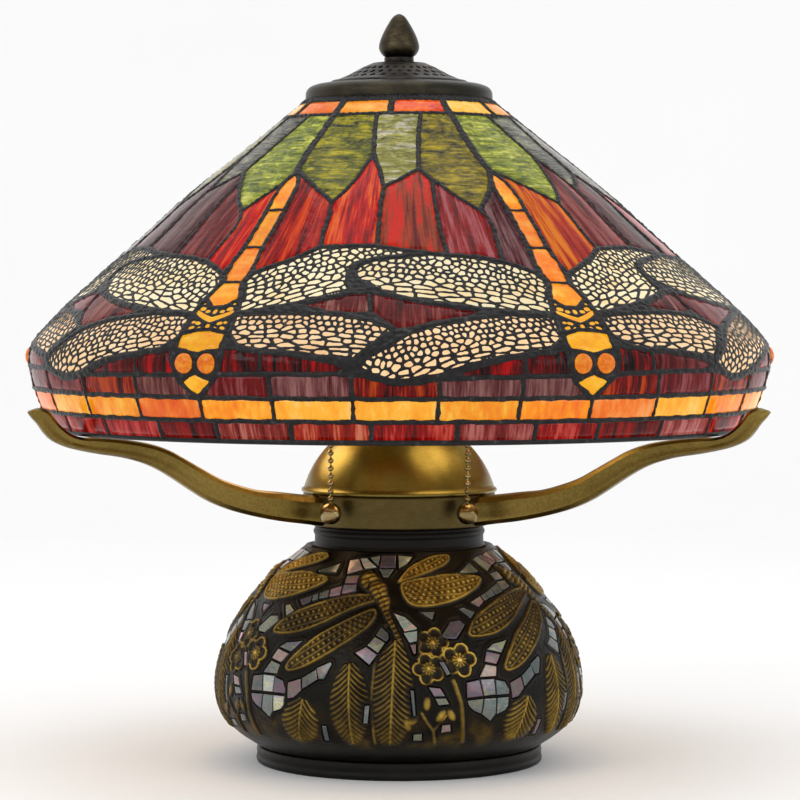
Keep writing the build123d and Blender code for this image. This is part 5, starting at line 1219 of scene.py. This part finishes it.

# arm ring, in a darker copy of the arms' brass: painted shade under the dome
ob = lathe("vis_arm_ring", soft([(49.5, 130.35), (50.1, 131.2), (50.4, 134.0), (51.2, 139.0), (52.3, 144.0), (52.9, 146.6), (52.6, 148.1), (49.0, 148.2), (49.0, 147.0), (46.6, 146.8), (46.0, 132.0), (46.8, 130.35)], 0.6, 3), 144)
set_mat(ob, M["ringbrass"]); shade_auto(ob, 40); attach(ob, "root"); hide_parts("arm_ring")

# spun dome: a rolled lip, a shallow step and a long, even curve
dome = [(53.1, 148.3), (53.7, 148.7), (53.9, 149.4), (53.6, 150.1), (53.15, 150.5)]
for a in np.linspace(16.6, 83.0, 40):
    t = math.radians(a)
    dome.append((54.6 * math.cos(t), 135.4 + 54.6 * math.sin(t)))
inner = [((r - 1.3 if r > 14 else r), z - (0.1 if r > 14 else 1.2)) for r, z in reversed(dome)]
ring_lo, ring_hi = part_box("heat_dome")
ob = lathe("vis_heat_dome", dome + [(inner[0][0], inner[0][1])] + inner[1:], 160)
set_mat(ob, M["brass"]); shade_auto(ob, 50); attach(ob, "root"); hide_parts("heat_dome")

# crown cap over the shade's top
ob = lathe("vis_cap_ring", soft([(50.9, 362.5), (51.3, 364.0), (51.2, 366.6), (50.6, 368.2), (49.6, 369.4), (48.0, 370.4), (45.0, 371.4), (41.0, 371.9), (38.6, 371.9), (38.6, 370.0), (44.0, 369.3), (47.3, 368.0), (48.8, 366.2), (49.3, 362.4)], 0.4, 2), 144)
set_mat(ob, M["band"]); shade_auto(ob, 50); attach(ob, "shade"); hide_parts("cap_ring")

# pierced crown: three staggered rows of 32 diamond vents, with two turned ridges
def crown():
    prof_ = [(38.6, 371.95), (37.6, 373.2), (33.2, 374.6), (28.6, 376.5), (24.0, 378.9), (19.4, 381.4), (15.8, 382.9), (12.6, 383.7), (9.0, 384.05), (4.2, 384.05)]
    P = np.array(prof_); seg = 384; m = 90
    L = np.concatenate([[0], np.cumsum(np.hypot(*np.diff(P, axis=0).T))]); S = np.linspace(0, L[-1], m)
    r, z = np.interp(S, L, P[:, 0]), np.interp(S, L, P[:, 1])
    A = np.arange(seg) * 2 * math.pi / seg
    RR, AA = np.meshgrid(r, A, indexing='ij'); ZZ = np.repeat(z[:, None], seg, 1)
    ss = np.repeat(S[:, None], seg, 1)
    rib = 0.0 * np.cos(16 * AA) * np.exp(-((ss - L[-1] * 0.36) / (L[-1] * 0.22)) ** 2)
    ridge = 0.35 * np.exp(-((ss - 2.6) / 0.7) ** 2) + 0.30 * np.exp(-((ss - L[-1] * 0.72) / 0.8) ** 2)
    return RR, AA, ZZ + (rib + ridge - 0.3) * 0.9, ss, L[-1]
RR, AA, ZZ, SSs, LL = crown()
mrow, seg = RR.shape
rows_ = (SSs[:-1] / LL - 0.17) / 0.135
turn_ = AA[:-1] * 32 / (2 * math.pi) + 0.5 * np.floor(rows_)
dia = np.abs(np.mod(turn_, 1.0) - 0.5) / 0.36 + np.abs(np.mod(rows_, 1.0) - 0.5) / 0.42
slot_ = (dia < 1.0) & (rows_ > 0) & (rows_ < 3)
keep = ~slot_
idx = np.arange(mrow * seg).reshape(mrow, seg)
Nn = idx.size
F = []
for i in range(mrow - 1):
    for j in range(seg):
        if not keep[i, j]:
            continue
        a, b, c, d = idx[i, j], idx[i, (j + 1) % seg], idx[i + 1, (j + 1) % seg], idx[i + 1, j]
        F.append((a, b, c, d)); F.append((a + Nn, d + Nn, c + Nn, b + Nn))
        if i == 0 or not keep[i - 1, j]: F.append((b, a, a + Nn, b + Nn))
        if i == mrow - 2 or not keep[i + 1, j]: F.append((d, c, c + Nn, d + Nn))
        if not keep[i, (j + 1) % seg]: F.append((c, b, b + Nn, c + Nn))
        if not keep[i, j - 1]: F.append((a, d, d + Nn, a + Nn))
F = np.array(F)
outer = np.stack([RR * np.sin(AA), -RR * np.cos(AA), ZZ], -1).reshape(-1, 3)
inner_ = np.stack([RR * np.sin(AA), -RR * np.cos(AA), ZZ - 1.3], -1).reshape(-1, 3)
V = np.concatenate([outer, inner_])
used, inv = np.unique(F, return_inverse=True)
ob = mesh_obj("vis_vent_crown", V[used], inv.reshape(F.shape))
set_mat(ob, M["gun"]); shade_auto(ob, 45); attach(ob, "shade"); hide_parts("vent_crown")

# =====================================================================
# arms
# =====================================================================
UP = [(50, 147.6), (60, 148.4), (75, 150.3), (89, 152), (101, 155.2), (111.5, 159), (121.5, 164.3), (130.5, 169.2), (140.5, 174.4), (152, 178.3), (166, 180.8), (180, 182.3),
      (190, 182.6), (197, 184.6), (202.5, 188.8), (206, 192.6), (209.5, 196.8), (214.5, 198.3), (219.4, 197.2)]
LO = [(50, 131), (61, 132.6), (76, 134.8), (92, 138.2), (106, 142.2), (117.5, 147), (127, 152.5), (136, 158.2), (145.5, 163.8), (155, 168), (167, 171.3), (181, 173.6),
      (192, 175.8), (200, 178), (207, 181.2), (211.5, 185.2), (215.3, 190.1), (218.2, 193), (220.7, 196.0)]
def curve(pts, m):
    P = np.array(pts, float); n = len(P)
    t = np.linspace(0, n - 1, m); i = np.clip(t.astype(int), 0, n - 2); f = (t - i)[:, None]
    p0, p1, p2, p3 = P[np.clip(i - 1, 0, n - 1)], P[i], P[i + 1], P[np.clip(i + 2, 0, n - 1)]
    return 0.5 * ((2 * p1) + (-p0 + p2) * f + (2 * p0 - 5 * p1 + 4 * p2 - p3) * f ** 2 + (-p0 + 3 * p1 - 3 * p2 + p3) * f ** 3)
def build_arm(name, ang, node):
    m = 110
    u, l = curve(UP, m), curve(LO, m)
    rho = (u[:, 0] + l[:, 0]) / 2
    hw = np.interp(rho, [50, 56, 75, 100, 140, 190, 207, 216, 221], [8.0, 6.6, 5.6, 5.2, 4.9, 4.5, 4.0, 2.6, 1.2])
    # outline of the section: bevelled crest, hollowed cheeks
    sec = [(-0.30, 1.0), (0.30, 1.0), (0.72, 0.86), (0.97, 0.52), (0.90, 0.18), (0.83, -0.12), (0.90, -0.42), (0.88, -0.72), (0.42, -1.0), (-0.42, -1.0),
           (-0.88, -0.72), (-0.90, -0.42), (-0.83, -0.12), (-0.90, 0.18), (-0.97, 0.52), (-0.72, 0.86)]
    t = math.radians(ang); d = np.array([math.sin(t), -math.cos(t), 0]); side = np.array([math.cos(t), math.sin(t), 0])
    V, F = [], []
    n = len(sec)
    for i in range(m):
        c = (u[i] + l[i]) / 2; e = (u[i] - l[i]) / 2
        for a, b in sec:
            p = c + e * b
            V.append(d * p[0] + side * (hw[i] * a) + np.array([0, 0, p[1]]))
    for i in range(m - 1):
        for q in range(n):
            a, b = i * n + q, i * n + (q + 1) % n
            F.append((a, b, b + n, a + n))
    F.append(tuple(range(n - 1, -1, -1))); F.append(tuple((m - 1) * n + q for q in range(n)))
    ob = mesh_obj(name, V, F)
    shade_auto(ob, 32)
    set_mat(ob, M["hook"]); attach(ob, "root"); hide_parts(node)
for nm, ang in (("right", 60.0), ("rear", 180.0), ("left", -60.0)):
    build_arm("vis_arm_" + nm, ang, "arm_" + nm)

# =====================================================================
# pieces kept as they are in the drawing
# =====================================================================
KEEP = {"bottom_plate": "steel", "cord_bushing": "nylon", "central_rod": "brass", "rod_foot_washer": "steel", "rod_foot_nut": "steel",
        "dome_lock_nut": "brass", "cluster_lock_nut": "brass", "arm_screws": "gun", "cluster_body": "brass",
        "rim_wire": "lead", "finial": "olive", "finial_washer": "gun"}
for sd in ("right", "left"):
    KEEP["socket_cap_" + sd] = "bright"; KEEP["socket_shell_" + sd] = "bright"; KEEP["socket_core_" + sd] = "porcelain"
    KEEP["chain_guide_" + sd] = "bright"; KEEP["bulb_" + sd] = "bulb"; KEEP["bulb_base_" + sd] = "bright"
    KEEP["pull_chain_" + sd] = "chain"; KEEP["pull_ball_" + sd] = "chain"
for node, mt in KEEP.items():
    set_mat(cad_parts[node], M[mt])
for node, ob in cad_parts.items():
    if node not in KEEP:
        set_mat(ob, M["lead"])

# =====================================================================
# floor, light, camera
# =====================================================================
sc = bpy.context.scene
def floor():
    xs = np.linspace(-4, 4, 5); prof_ = [(-4.0, 0.0), (1.0, 0.0)]
    for a in np.linspace(0, math.pi / 2, 14):
        prof_.append((1.6 + 1.4 * math.sin(a), 1.4 * (1 - math.cos(a))))
    prof_.append((3.0, 5.0))
    V = [(x, y, z) for (y, z) in prof_ for x in (-5.0, 5.0)]
    F = [(2 * i, 2 * i + 1, 2 * i + 3, 2 * i + 2) for i in range(len(prof_) - 1)]
    ob = mesh_obj("studio_floor", np.array(V) * 1000, F)
    m, nt, bs = new_mat("studio_floor")
    tc = N(nt, "ShaderNodeTexCoord").outputs["Object"]
    col = ramp(nt, noise(nt, tc, 2.0, 2.0), [(0.3, (0.90, 0.90, 0.90)), (0.7, (0.92, 0.92, 0.92))])
    nt.links.new(col, bs.inputs["Base Color"]); bs.inputs["Roughness"].default_value = 0.75
    bs.inputs["Specular IOR Level"].default_value = 0.15
    set_mat(ob, m)
floor()

w = bpy.data.worlds.new("studio"); sc.world = w; w.use_nodes = True
bg = w.node_tree.nodes["Background"]; bg.inputs[0].default_value = (1, 1, 1, 1); bg.inputs[1].default_value = 1.0

def area(name, loc, aim, size, power, col=(1, 1, 1), sizey=None):
    L = bpy.data.lights.new(name, 'AREA'); L.energy = power; L.color = col; L.size = size
    if sizey:
        L.shape = 'RECTANGLE'; L.size_y = sizey
    o = bpy.data.objects.new(name, L); COL.objects.link(o); o.location = loc
    o.rotation_euler = (Vector(aim) - Vector(loc)).to_track_quat('-Z', 'Y').to_euler()
    return o
area("key_left", (-1.5, -1.6, 1.4), (0, 0, 0.2), 1.0, 9)
area("fill_right", (1.7, -1.2, 0.9), (0, 0, 0.2), 1.0, 5)
area("top", (0, 0.1, 2.0), (0, 0, 0.2), 1.2, 5)

def lamp(name, loc, power, body, col=(1.0, 0.72, 0.42), r=0.03):
    L = bpy.data.lights.new(name, 'POINT'); L.energy = power; L.color = col; L.shadow_soft_size = r
    o = bpy.data.objects.new(name, L); COL.objects.link(o); o.location = loc
    return o
lamp("glow_right", (0.046, -0.046, 0.222), 0.14, "root")
lamp("glow_left", (-0.075, -0.0, 0.205), 0.14, "root")

cam_d = bpy.data.cameras.new("photo_camera"); cam = bpy.data.objects.new("photo_camera", cam_d); COL.objects.link(cam)
cam_d.sensor_width = 36.0; cam_d.lens = 138.7
cam.location = (0.0005, -1.6957, 0.2617)
cam.rotation_euler = (math.radians(90 - 2.136), 0, 0)
cam_d.dof.use_dof = False
sc.camera = cam
sc.view_settings.view_transform = 'Standard'
